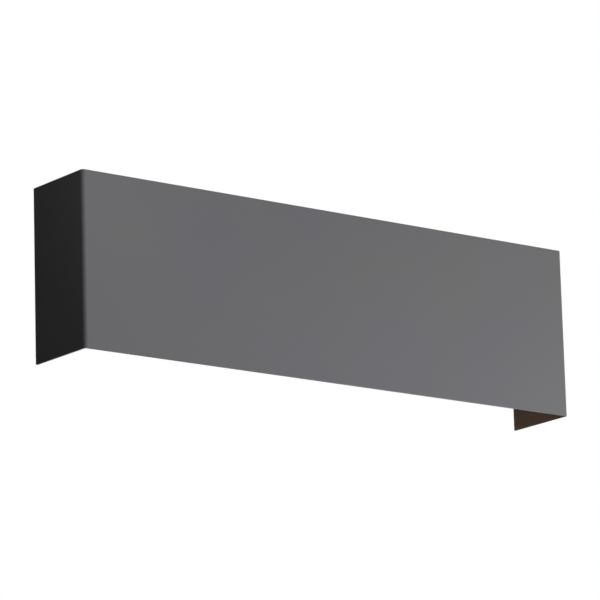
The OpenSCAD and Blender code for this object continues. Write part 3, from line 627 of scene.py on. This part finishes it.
def repeat(bm, moves):
    """Puts a copy of the shape where each move takes it, in place of the shape itself."""
    shape = bm.verts[:] + bm.edges[:] + bm.faces[:]
    copies = [bm.verts[:]]
    for _ in moves[1:]:
        made = bmesh.ops.duplicate(bm, geom=shape)["geom"]
        copies.append([part for part in made if isinstance(part, bmesh.types.BMVert)])
    for move, verts in zip(moves, copies):
        bmesh.ops.transform(bm, matrix=move, verts=verts)


def bend(before, corner, after, reach, steps=8):
    """Points of a smooth bend at a corner of a wire's way."""
    back, on = before - corner, after - corner
    start = corner + back.normalized() * min(reach, 0.49 * back.length)
    end = corner + on.normalized() * min(reach, 0.49 * on.length)
    return [start.lerp(corner, i / steps).lerp(corner.lerp(end, i / steps), i / steps)
            for i in range(steps + 1)]


def route(corners, reach):
    """A wire's way: straight runs with a bend at each corner between them."""
    corners = [Vector(corner) for corner in corners]
    bends = [bend(*corners[i - 1:i + 2], reach) for i in range(1, len(corners) - 1)]
    return [corners[0], *(point for points in bends for point in points), corners[-1]]


def sleeve(bm, path, radius, sides=20):
    """A round wire along its way, with its turn and length in the UV map."""
    ways = [(path[min(i + 1, len(path) - 1)] - path[max(i - 1, 0)]).normalized() for i in range(len(path))]
    made = bmesh.ops.create_circle(bm, cap_ends=True, segments=sides, radius=radius,
                                   matrix=laid(path[0], ways[0]))
    end = made["verts"][0].link_faces[0]
    lay = {vert: (i / sides, 0.0) for i, vert in enumerate(end.verts)}
    length = 0.0
    for i in range(1, len(path)):
        old = list(end.verts)
        end = push(bm, end, path[i] - path[i - 1])
        turn = ways[i - 1].rotation_difference(ways[i]).to_matrix()
        bmesh.ops.rotate(bm, cent=path[i], matrix=turn, verts=end.verts)
        length += (path[i] - path[i - 1]).length
        for vert in end.verts:
            behind = next(edge.other_vert(vert) for edge in vert.link_edges if edge.other_vert(vert) in old)
            lay[vert] = (lay[behind][0], length)
    layer = bm.loops.layers.uv.verify()
    for face in bm.faces:
        turns = [lay[loop.vert][0] for loop in face.loops if loop.vert in lay]
        for loop in face.loops:
            if loop.vert in lay:
                turn, along = lay[loop.vert]
                wraps = max(turns) - turn > 0.5
                loop[layer].uv = (turn + wraps, along)


# Sizes and colours that a user would change

class CoverLooks(bpy.types.PropertyGroup):
    """The painted cover."""
    paint: FloatVectorProperty(name="Paint", description="Colour of the powder coat", subtype="COLOR",
                               size=3, min=0, max=1, default=(0.155, 0.153, 0.168))
    roughness: FloatProperty(name="Roughness", description="How matt the powder coat is",
                             min=0.2, max=0.9, default=0.50, subtype="FACTOR")
    gloss: FloatProperty(name="Gloss", description="Strength of the coat's reflections",
                         min=0, max=1, default=0.015, subtype="FACTOR")
    grain: FloatProperty(name="Grain", description="Size of the coat's orange peel",
                         min=0.2 * MM, max=5 * MM, default=0.9 * MM, unit="LENGTH")
    edge: FloatProperty(name="Edge rounding", description="Rounding of the sheet's cut edges",
                        min=0.1 * MM, max=0.5 * MM, default=0.3 * MM, unit="LENGTH")


class MetalLooks(bpy.types.PropertyGroup):
    """The bare metals inside."""
    zinc: FloatVectorProperty(name="Zinc", description="Colour of the galvanised plate", subtype="COLOR",
                              size=3, min=0, max=1, default=(0.60, 0.61, 0.63))
    aluminium: FloatVectorProperty(name="Aluminium", description="Colour of the housing and its brackets",
                                   subtype="COLOR", size=3, min=0, max=1, default=(0.77, 0.78, 0.80))
    brass: FloatVectorProperty(name="Brass", description="Colour of the clamps and the earth nut",
                               subtype="COLOR", size=3, min=0, max=1, default=(0.78, 0.60, 0.27))


class GlowLooks(bpy.types.PropertyGroup):
    """The light that the diffusers give."""
    colour: FloatVectorProperty(name="Light", description="Colour of the light", subtype="COLOR",
                                size=3, min=0, max=1, default=(1.0, 0.60, 0.30))
    strength: FloatProperty(name="Strength", description="How bright the diffusers look over an LED",
                            min=0, max=30, default=1.4)
    thrown: FloatProperty(name="Thrown light", description="Light that leaves each diffuser",
                          min=0, max=20, default=0.185, unit="POWER")
    warmth: FloatVectorProperty(name="Thrown colour", description="Colour of the light inside the cover",
                                subtype="COLOR", size=3, min=0, max=1, default=(1.0, 0.50, 0.20))


class StageLooks(bpy.types.PropertyGroup):
    """The floor and the studio lamps."""
    floor: FloatVectorProperty(name="Floor", description="Colour of the floor", subtype="COLOR",
                               size=3, min=0, max=1, default=(0.80, 0.80, 0.79))
    drop: FloatProperty(name="Floor depth", description="How far the floor lies under the light",
                        min=0.8, max=5, default=3.2, unit="LENGTH")
    floor_glow: FloatProperty(name="Floor paleness", description="How pale the camera sees the floor",
                              min=0, max=1, default=0.84, subtype="FACTOR")
    key: FloatProperty(name="Key lamp", description="Power of the large soft lamp in front",
                       min=0, max=500, default=64, unit="POWER")
    sky: FloatProperty(name="Sky", description="Strength of the even light from all round",
                       min=0, max=2, default=0.0185)


class PieceOperator:
    """What the operators share: the button finishes once its piece is made."""
    bl_options = {"REGISTER"}

    def execute(self, context):
        self.make(context)
        return {"FINISHED"}


class WALLLIGHT_OT_cover(PieceOperator, bpy.types.Operator):
    """Folds the cover's sheet, with its cut edges rounded under the paint"""
    bl_idname = "walllight.cover"
    bl_label = "Cover sheet"

    def make(self, context):
        low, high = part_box("front_cover")
        bm = bmesh.new()
        corners = [(low.x, low.z), (low.x + SHEET_T, low.z), (low.x + SHEET_T, high.z), (low.x, high.z)]
        end = bm.faces.new([bm.verts.new((x, high.y, z)) for x, z in corners])
        end = push(bm, end, (0, low.y + BEND_R - high.y, 0))
        end = swing(bm, end, (low.x + BEND_R, low.y + BEND_R, 0))
        end = push(bm, end, (high.x - low.x - 2 * BEND_R, 0, 0))
        end = swing(bm, end, (high.x - BEND_R, low.y + BEND_R, 0))
        push(bm, end, (0, high.y - low.y - BEND_R, 0))
        soften(bm, context.scene.wall_light_cover.edge, segments=3)
        add_piece("cover_sheet", bm, [powder_coat], ["front_cover"], "cover")


class WALLLIGHT_OT_cover_tabs(PieceOperator, bpy.types.Operator):
    """Paints the tabs inside the cover and marks their spot welds"""
    bl_idname = "walllight.cover_tabs"
    bl_label = "Cover tabs"

    def make(self, context):
        dress(powder_coat, "hanger_tabs", "lock_tabs")
        low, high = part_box("hanger_tabs")
        mark_r, mark_h, inside = 1.9 * MM, 0.12 * MM, high.x - SHEET_T
        bm = lathe([(0, 0.3 * mark_h), (0.6 * mark_r, 0.3 * mark_h), (0.8 * mark_r, mark_h),
                    (mark_r, 0.2 * mark_h), (mark_r, -mark_h), (0, -mark_h)], steps=24)
        forwards = [low.y + share * (high.y - low.y) for share in (0.28, 0.72)]
        level = low.z + 0.38 * TAB_LEAF_H
        repeat(bm, [laid((side * inside, forward, up * level), (-side, 0, 0))
                    for side in (-1, 1) for up in (-1, 1) for forward in forwards])
        add_piece("weld_marks", bm, [powder_coat], body="cover")


class WALLLIGHT_OT_wall_plate(PieceOperator, bpy.types.Operator):
    """Galvanises the wall plate"""
    bl_idname = "walllight.wall_plate"
    bl_label = "Wall plate"

    def make(self, context):
        dress(galvanised_steel, "wall_plate")


class WALLLIGHT_OT_grommet(PieceOperator, bpy.types.Operator):
    """Moulds the rubber grommet of the cable inlet"""
    bl_idname = "walllight.grommet"
    bl_label = "Cable grommet"

    def make(self, context):
        low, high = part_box("cable_grommet")
        middle, depth, flange_r = (low + high) / 2, high.y - low.y, (high.x - low.x) / 2
        bore_r, hole_r, flange_t, nose = 3.5 * MM, 5.5 * MM, 1.6 * MM, 1.0 * MM
        lead, rounding, back = 0.3 * MM, 0.5 * MM, depth - nose
        outline = [(bore_r, lead), (bore_r + lead, 0), (flange_r - rounding, 0), (flange_r, rounding),
                   (flange_r, flange_t), (hole_r, flange_t), (hole_r, back - flange_t),
                   (flange_r, back - flange_t), (flange_r - 0.4 * MM, back - rounding),
                   (flange_r - 1.2 * MM, back), (bore_r + 1.1 * MM, depth - rounding),
                   (bore_r + rounding, depth), (bore_r, depth - lead)]
        bm = lathe(outline, steps=56, closed=True)
        soften(bm, 0.2 * MM, angle=35)
        repeat(bm, [laid((middle.x, high.y, middle.z), FORWARD)])
        add_piece("rubber_grommet", bm, [grommet_rubber], ["cable_grommet"])


class WALLLIGHT_OT_terminals(PieceOperator, bpy.types.Operator):
    """Finishes the terminal block and the earth point"""
    bl_idname = "walllight.terminals"
    bl_label = "Terminals"

    def make(self, context):
        dress(nylon, "terminal_block")
        dress(bored_brass, "terminal_clamps")
        dress(stamped_zinc, "terminal_screws", "earth_washer")
        dress(tin_plate, "earth_lug")


class WALLLIGHT_OT_wires(PieceOperator, bpy.types.Operator):
    """Draws the sleeved wires along their ways"""
    bl_idname = "walllight.wires"
    bl_label = "Wires"

    def make(self, context):
        self.make_earth_wire()
        self.make_mains_wire("live_wire", live_sleeve, "live_insulation", -11 * MM, -4 * MM)
        self.make_mains_wire("neutral_wire", neutral_sleeve, "neutral_insulation", -3 * MM, 4 * MM)
        self.make_leads("upper_led_wires", 1, lead_sleeve)
        self.make_leads("lower_led_wires", -1, black_lead_sleeve)

    def from_pole(self, level):
        """A wire's start in its pole of the terminal block, and its first corner outside."""
        block_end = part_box("terminal_block")[1].x
        low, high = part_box("terminal_clamps")
        pole_y = (low.y + high.y) / 2
        return [(block_end - POLE_DEPTH, pole_y, level), (block_end + POLE_TURN, pole_y, level)]

    def make_earth_wire(self):
        """The wire from its pole up to the lug on the plate."""
        low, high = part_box("earth_wire")
        start, corner = self.from_pole(low.z + WIRE_R)
        lug_y, lug_z = high.y - WIRE_R, high.z - WIRE_R
        way = route([start, corner, (corner[0], lug_y, lug_z), (low.x, lug_y, lug_z)], POLE_TURN)
        bm = bmesh.new()
        sleeve(bm, way, WIRE_R)
        add_piece("earth_wire_sleeve", bm, [earth_sleeve], ["earth_wire"])

    def make_mains_wire(self, node, maker, slot, pole_z, driver_z):
        """A wire from its pole through the window of the left bracket into the driver."""
        window_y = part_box(node)[0].y + WIRE_R
        bracket_x, driver_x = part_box("left_end_bracket")[1].x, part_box("driver_case")[0].x
        entry_x = driver_x + DRIVER_EAR + DRIVER_ENTRY
        way = route([*self.from_pole(pole_z), (bracket_x - WINDOW_BEFORE, window_y, driver_z),
                     (bracket_x + WINDOW_BEYOND, window_y, driver_z), (driver_x, DRIVER_WIRE_Y, driver_z),
                     (entry_x, DRIVER_WIRE_Y, driver_z)], WIRE_BEND)
        bm = bmesh.new()
        sleeve(bm, way, WIRE_R)
        add_piece(node + "_sleeve", bm, [maker], [node])

    def make_leads(self, node, up, maker):
        """The two leads from the driver to the pads of the upper or the lower board."""
        low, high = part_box(node)
        lead_y, pad_z = high.y - LEAD_R, up * (BOARD_SURFACE_Z + LEAD_LIFT)
        bm = bmesh.new()
        for x, level in zip(LEADS_X, LEAD_LEVELS):
            way = route([(low.x, lead_y, up * level), (x, lead_y, up * level), (x, lead_y, pad_z),
                         (x + LEAD_RUN, PAD_Y, pad_z)], WIRE_BEND)
            sleeve(bm, way, LEAD_R)
        add_piece(node + "_sleeves", bm, [maker], [node])


class WALLLIGHT_OT_driver(PieceOperator, bpy.types.Operator):
    """Finishes the driver's case and board and makes the parts on its board"""
    bl_idname = "walllight.driver"
    bl_label = "Driver"

    def make(self, context):
        dress(driver_moulding, "driver_case", "driver_lid")
        dress(circuit_laminate, "driver_circuit_board")
        self.make_transformer()
        self.make_capacitors()

    def make_transformer(self):
        """A ferrite core of two plates and two legs, and the taped winding between them."""
        low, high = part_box("driver_transformer")
        middle = (low + high) / 2
        plate, leg, leg_inset, gap = 3 * MM, 1.3 * MM, 3 * MM, 0.02 * MM
        bm = bmesh.new()
        block(bm, (low.x, high.y - plate, low.z), high)
        block(bm, low, (high.x, low.y + plate, high.z))
        for x in (low.x, high.x - leg):
            block(bm, (x, low.y + plate, low.z + leg_inset), (x + leg, high.y - plate, high.z - leg_inset))
        soften(bm, 0.25 * MM)
        add_piece("transformer_core", bm, [ferrite], ["driver_transformer"])
        flange_r, flange_t = (high.z - low.z) / 2 - 0.5 * MM, 0.5 * MM
        tape_r, height = flange_r - 0.4 * MM, high.y - low.y - 2 * plate - 2 * gap
        bm = lathe([(0, 0), (flange_r, 0), (flange_r, flange_t), (tape_r, flange_t),
                    (tape_r, height - flange_t), (flange_r, height - flange_t), (flange_r, height),
                    (0, height)])
        soften(bm, 0.08 * MM)
        repeat(bm, [laid((middle.x, high.y - plate - gap, middle.z), FORWARD)])
        add_piece("transformer_winding", bm, [winding_tape])

    def make_capacitors(self):
        """Three cans that stand on the board, each in its sleeve."""
        low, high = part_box("driver_capacitors")
        small_r, large_r = 4 * MM, 5 * MM
        cans = [(low.x + large_r, large_r, 11.5 * MM), (-33 * MM, small_r, 9.0 * MM),
                (high.x - small_r, small_r, 11.0 * MM)]
        for name, outline_of, maker, replaced in (
                ("capacitor_sleeves", self.sleeve_outline, shrink_sleeve, ["driver_capacitors"]),
                ("capacitor_tops", self.top_outline, tin_plate, [])):
            bm = bmesh.new()
            for x, radius, height in cans:
                can = lathe(outline_of(radius, height))
                repeat(can, [laid((x, high.y, 0), FORWARD)])
                scratch = bpy.data.meshes.new("can")
                can.to_mesh(scratch)
                can.free()
                bm.from_mesh(scratch)
                bpy.data.meshes.remove(scratch)
            add_piece(name, bm, [maker], replaced)

    def sleeve_outline(self, radius, height):
        """A can's sleeve, crimped near its foot and rolled over at its rim."""
        rim_r, top_h = radius - 0.7 * MM, height - 1 * MM
        return [(0, 0), (radius, 0), (radius, 1.2 * MM), (radius - 0.35 * MM, 1.8 * MM),
                (radius, 2.4 * MM), (radius, height - 0.5 * MM), (radius - 0.4 * MM, height),
                (rim_r, height), (rim_r, top_h), (0, top_h)]

    def top_outline(self, radius, height):
        """A can's metal top, inside the rim of its sleeve."""
        rim_r, foot_h, top_h = radius - 0.7 * MM, height - 1 * MM, height - 0.05 * MM
        return [(0, foot_h), (rim_r, foot_h), (rim_r, height - 0.15 * MM), (0.3 * radius, top_h), (0, top_h)]


class WALLLIGHT_OT_light_unit(PieceOperator, bpy.types.Operator):
    """Finishes the finned housing and its end brackets"""
    bl_idname = "walllight.light_unit"
    bl_label = "Light unit"

    def make(self, context):
        dress(anodised_aluminium, "led_housing")
        dress(rolled_aluminium, "left_end_bracket", "right_end_bracket")


class WALLLIGHT_OT_fasteners(PieceOperator, bpy.types.Operator):
    """Turns the screws, with their recesses, and the nuts"""
    bl_idname = "walllight.fasteners"
    bl_label = "Fasteners"

    def make(self, context):
        self.make_nuts("bracket_nuts", M4_NUT_ACROSS)
        self.make_nuts("driver_nuts", M3_NUT_ACROSS)
        self.make_nuts("terminal_nut", M3_NUT_ACROSS)
        self.make_nuts("earth_nut", M4_NUT_ACROSS, brass, "brass_parts")
        low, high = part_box("bracket_screws")
        self.make_pan_screws("bracket_pan_screws", "bracket_screws", PORT_SCREW_L, 1.4 * MM, [
            laid((side * (high.x - PAN_HEAD_H), forward, level), (side, 0, 0)) for side in (-1, 1)
            for forward in (low.y + PAN_HEAD_R, high.y - PAN_HEAD_R)
            for level in (low.z + PAN_HEAD_R, high.z - PAN_HEAD_R)])
        low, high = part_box("led_board_screws")
        self.make_pan_screws("board_pan_screws", "led_board_screws", BOARD_SCREW_L, 1.45 * MM, [
            laid((x, (low.y + high.y) / 2, up * (high.z - PAN_HEAD_H)), (0, 0, up))
            for x in (low.x + PAN_HEAD_R, 0, high.x - PAN_HEAD_R) for up in (-1, 1)])
        self.make_lock_screws()

    def make_nuts(self, node, across, maker=zinc_plate, slot="zinc_fasteners"):
        """Hexagon nuts on their studs, as many as the ends of their box have room for."""
        low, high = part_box(node)
        corner_r = across / math.sqrt(3)
        xs, zs = {low.x + corner_r}, {low.z + across / 2}
        if high.x - low.x > 3 * corner_r:
            xs.add(high.x - corner_r)
        if high.z - low.z > 1.5 * across:
            zs.add(high.z - across / 2)
        bm = hex_nut(across, high.y - low.y)
        repeat(bm, [laid((x, high.y, z), FORWARD) for x in sorted(xs) for z in sorted(zs)])
        add_piece(node + "_turned", bm, [maker], [node])

    def make_pan_screws(self, name, node, length, shank_r, moves):
        """Pan head screws with a cross recess."""
        tip, rim_h, opening = 0.3 * MM, 0.7 * MM, 1.9 * MM
        outline = [(0, -length), (shank_r - tip, -length), (shank_r, tip - length), (shank_r, 0),
                   (PAN_HEAD_R, 0), *dome(PAN_HEAD_R, rim_h, PAN_HEAD_H, opening)]
        bm = lathe(outline, steps=32)
        soften(bm, 0.1 * MM, angle=60)
        sink(bm, cross_outline(1.45 * MM, 0.6 * MM), PAN_HEAD_H, 1.1 * MM, 0.55)
        repeat(bm, moves)
        add_piece(name, bm, [zinc_plate], [node])

    def make_lock_screws(self):
        """The two button head screws with hexagon sockets under the plate's lower ears."""
        low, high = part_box("lock_screws")
        head_r, shank_r = (high.y - low.y) / 2, 1.95 * MM
        head_h, rim_h, opening = 2.5 * MM, 1.2 * MM, 2.1 * MM
        shank_end = low.z - high.z + head_h
        bm = lathe([(0, shank_end), (shank_r, shank_end), (shank_r, 0), (head_r, 0),
                    *dome(head_r, rim_h, head_h, opening)])
        soften(bm, 0.12 * MM)
        sink(bm, hex_outline(2.5 * MM), head_h, 1.7 * MM, 1.0)
        repeat(bm, [laid((x, (low.y + high.y) / 2, low.z + head_h), (0, 0, -1))
                    for x in (low.x + head_r, high.x - head_r)])
        add_piece("lock_button_screws", bm, [black_oxide], ["lock_screws"])


class WALLLIGHT_OT_led_boards(PieceOperator, bpy.types.Operator):
    """Finishes the LED boards and makes the LEDs and the solder joints on them"""
    bl_idname = "walllight.led_boards"
    bl_label = "LED boards"

    def make(self, context):
        dress(white_solder_mask, "upper_led_board", "lower_led_board")
        self.make_leds("upper_leds", 1)
        self.make_leds("lower_leds", -1)
        self.make_joints()

    def make_leds(self, node, up):
        """A row of LEDs: white packages with sunk phosphor and a terminal at each end."""
        low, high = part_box(node)
        width, height, rim, well = high.y - low.y, high.z - low.z, 0.35 * MM, 0.15 * MM
        bm = bmesh.new()
        block(bm, (-LED_L / 2, -width / 2, 0), (LED_L / 2, width / 2, height))
        soften(bm, 0.12 * MM)
        top = max(bm.faces, key=lambda face: face.calc_center_median().z + face.calc_area())
        bmesh.ops.inset_individual(bm, faces=[top], thickness=rim)
        top = push(bm, top, (0, 0, -well))
        top.material_index = 1
        side, level, start_x, end_x = 0.9 * MM, 0.25 * MM, LED_L / 2 - 0.33 * MM, LED_L / 2 + 0.12 * MM
        for end in (-1, 1):
            terminal = block(bm, (end * start_x, -side, 0), (end * end_x, side, level))
            for face in {face for vert in terminal for face in vert.link_faces}:
                face.material_index = 2
        count = round((high.x - low.x - LED_L) / LED_PITCH) + 1
        xs = [(i - (count - 1) / 2) * LED_PITCH for i in range(count)]
        flip, middle_y = Matrix.Diagonal((1, 1, up, 1)), (low.y + high.y) / 2
        repeat(bm, [Matrix.Translation((x, middle_y, up * BOARD_SURFACE_Z)) @ flip for x in xs])
        makers = [led_package, led_phosphor, tin_plate]
        add_piece(node[:-1] + "_packages", bm, makers, [node])

    def make_joints(self):
        """Solder on the pads where the leads end."""
        joint_r, joint_h, ahead = 1.1 * MM, 1.0 * MM, LEAD_RUN + 0.3 * MM
        outline = [(0, 0), (joint_r, 0), *dome(joint_r, 0.05 * MM, joint_h, 0.0)[1:-1], (0, joint_h)]
        bm = lathe(outline, steps=20)
        repeat(bm, [laid((x + ahead, PAD_Y, up * BOARD_SURFACE_Z), (0, 0, up))
                    for x in LEADS_X for up in (-1, 1)])
        add_piece("solder_joints", bm, [tin_plate])


class WALLLIGHT_OT_diffusers(PieceOperator, bpy.types.Operator):
    """Cuts the two opal diffusers, with their edges broken"""
    bl_idname = "walllight.diffusers"
    bl_label = "Diffusers"

    def make(self, context):
        for node in ("upper_diffuser", "lower_diffuser"):
            bm = bmesh.new()
            block(bm, *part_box(node))
            soften(bm, 0.2 * MM)
            add_piece(node + "_sheet", bm, [opal_acrylic], [node])


class WALLLIGHT_OT_stage(PieceOperator, bpy.types.Operator):
    """Sets the floor, the lamps, the background and the camera"""
    bl_idname = "walllight.stage"
    bl_label = "Stage"

    def make(self, context):
        looks = context.scene.wall_light_stage
        context.scene.view_settings.view_transform = "Standard"
        self.make_floor(looks)
        self.make_world(looks)
        self.make_lamps(looks)
        self.make_thrown_light(context.scene.wall_light_glow)
        self.make_camera(context.scene)

    def make_floor(self, looks):
        """A pale floor far under the light."""
        bm = bmesh.new()
        bmesh.ops.create_circle(bm, cap_ends=True, segments=96, radius=FLOOR_R,
                                matrix=Matrix.Translation((0, 0, -looks.drop)))
        add_object("floor", bm, [floor_paint])

    def make_world(self, looks):
        """White where it is seen, directly or in a gloss, and dim as a light."""
        world = bpy.data.worlds.new("studio")
        bpy.context.scene.world = world
        world.use_nodes = True
        nodes = world.node_tree.nodes
        dim = plug_in(nodes["Background"], Color=WHITE, Strength=looks.sky)
        white = add_node(nodes, "Background", Color=WHITE)
        both = add_blend(nodes, "MixShader", (dim, white), Fac=seen_rays(nodes))
        plug_in(nodes["World Output"], Surface=both.outputs["Shader"])

    def make_lamps(self, looks):
        """A large soft lamp in front, and weaker ones below, behind and at the left."""
        lamps = [("key_lamp", (0.75, -3.20, 0.40), (2.60, 4.00), 1.0),
                 ("low_lamp", (0.48, -0.48, -0.48), (0.60, 0.45), 0.088),
                 ("back_lamp", (0.90, 1.30, 0.90), (1.60, 1.60), 0.10),
                 ("left_lamp", (-0.24, -0.20, 0.08), (0.08, 0.08), 0.0010)]
        for name, place, size, share in lamps:
            self.make_lamp(name, Vector(place), Vector(place), size, share * looks.key)

    def make_thrown_light(self, looks):
        """The light that leaves the two diffusers, as the cover's inside catches it."""
        for node, up in (("upper_diffuser", 1), ("lower_diffuser", -1)):
            low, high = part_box(node)
            place = (low + high) / 2 + Vector((0, 0, up * (high.z - low.z)))
            size = (high.x - low.x, high.y - low.y)
            lamp = self.make_lamp(node + "_light", place, Vector((0, 0, -up)), size, looks.thrown)
            lamp.color = looks.warmth

    def make_lamp(self, name, place, away, size, power):
        """A soft lamp at a place, which shines the opposite way to away."""
        lamp = bpy.data.lights.new(name, "AREA")
        lamp.shape, lamp.energy = "RECTANGLE", power
        lamp.size, lamp.size_y = size
        holder = bpy.data.objects.new(name, lamp)
        holder.location = place
        holder.rotation_euler = (-away).to_track_quat("-Z", "Y").to_euler()
        holder.visible_camera = False
        bpy.context.scene.collection.objects.link(holder)
        return lamp

    def make_camera(self, scene):
        """The camera of the photograph."""
        camera = bpy.data.cameras.new("camera")
        camera.lens, camera.clip_end = CAMERA_LENS, 50
        holder = bpy.data.objects.new("camera", camera)
        holder.matrix_world = Matrix.Translation(CAMERA_PLACE)
        for angle, axis in CAMERA_TURNS:
            holder.matrix_world = holder.matrix_world @ Matrix.Rotation(math.radians(angle), 4, axis)
        scene.collection.objects.link(holder)
        scene.camera = holder


OPERATORS = (WALLLIGHT_OT_stage, WALLLIGHT_OT_cover, WALLLIGHT_OT_cover_tabs, WALLLIGHT_OT_wall_plate,
             WALLLIGHT_OT_grommet, WALLLIGHT_OT_terminals, WALLLIGHT_OT_wires, WALLLIGHT_OT_driver,
             WALLLIGHT_OT_light_unit, WALLLIGHT_OT_fasteners, WALLLIGHT_OT_led_boards,
             WALLLIGHT_OT_diffusers)
LOOKS = {"wall_light_cover": CoverLooks, "wall_light_metals": MetalLooks, "wall_light_glow": GlowLooks,
         "wall_light_stage": StageLooks}


class WALLLIGHT_PT_panel(bpy.types.Panel):
    """Lists the looks of the wall light and the buttons that make its pieces"""
    bl_idname = "WALLLIGHT_PT_panel"
    bl_label = "Wall light"
    bl_space_type = "VIEW_3D"
    bl_region_type = "UI"
    bl_category = "Wall light"

    def draw(self, context):
        for name, group in LOOKS.items():
            box = self.layout.box()
            box.label(text=group.__doc__)
            looks = getattr(context.scene, name)
            for prop in group.__annotations__:
                box.prop(looks, prop)
        for operator in OPERATORS:
            self.layout.operator(operator.bl_idname)


def register():
    for name, group in LOOKS.items():
        bpy.utils.register_class(group)
        setattr(bpy.types.Scene, name, PointerProperty(type=group))
    for operator in OPERATORS:
        bpy.utils.register_class(operator)
    bpy.utils.register_class(WALLLIGHT_PT_panel)


def unregister():
    bpy.utils.unregister_class(WALLLIGHT_PT_panel)
    for operator in reversed(OPERATORS):
        bpy.utils.unregister_class(operator)
    for name, group in LOOKS.items():
        delattr(bpy.types.Scene, name)
        bpy.utils.unregister_class(group)


def main():
    register()
    for operator in OPERATORS:
        group, name = operator.bl_idname.split(".")
        getattr(getattr(bpy.ops, group), name)()


if __name__ == "__main__":
    main()
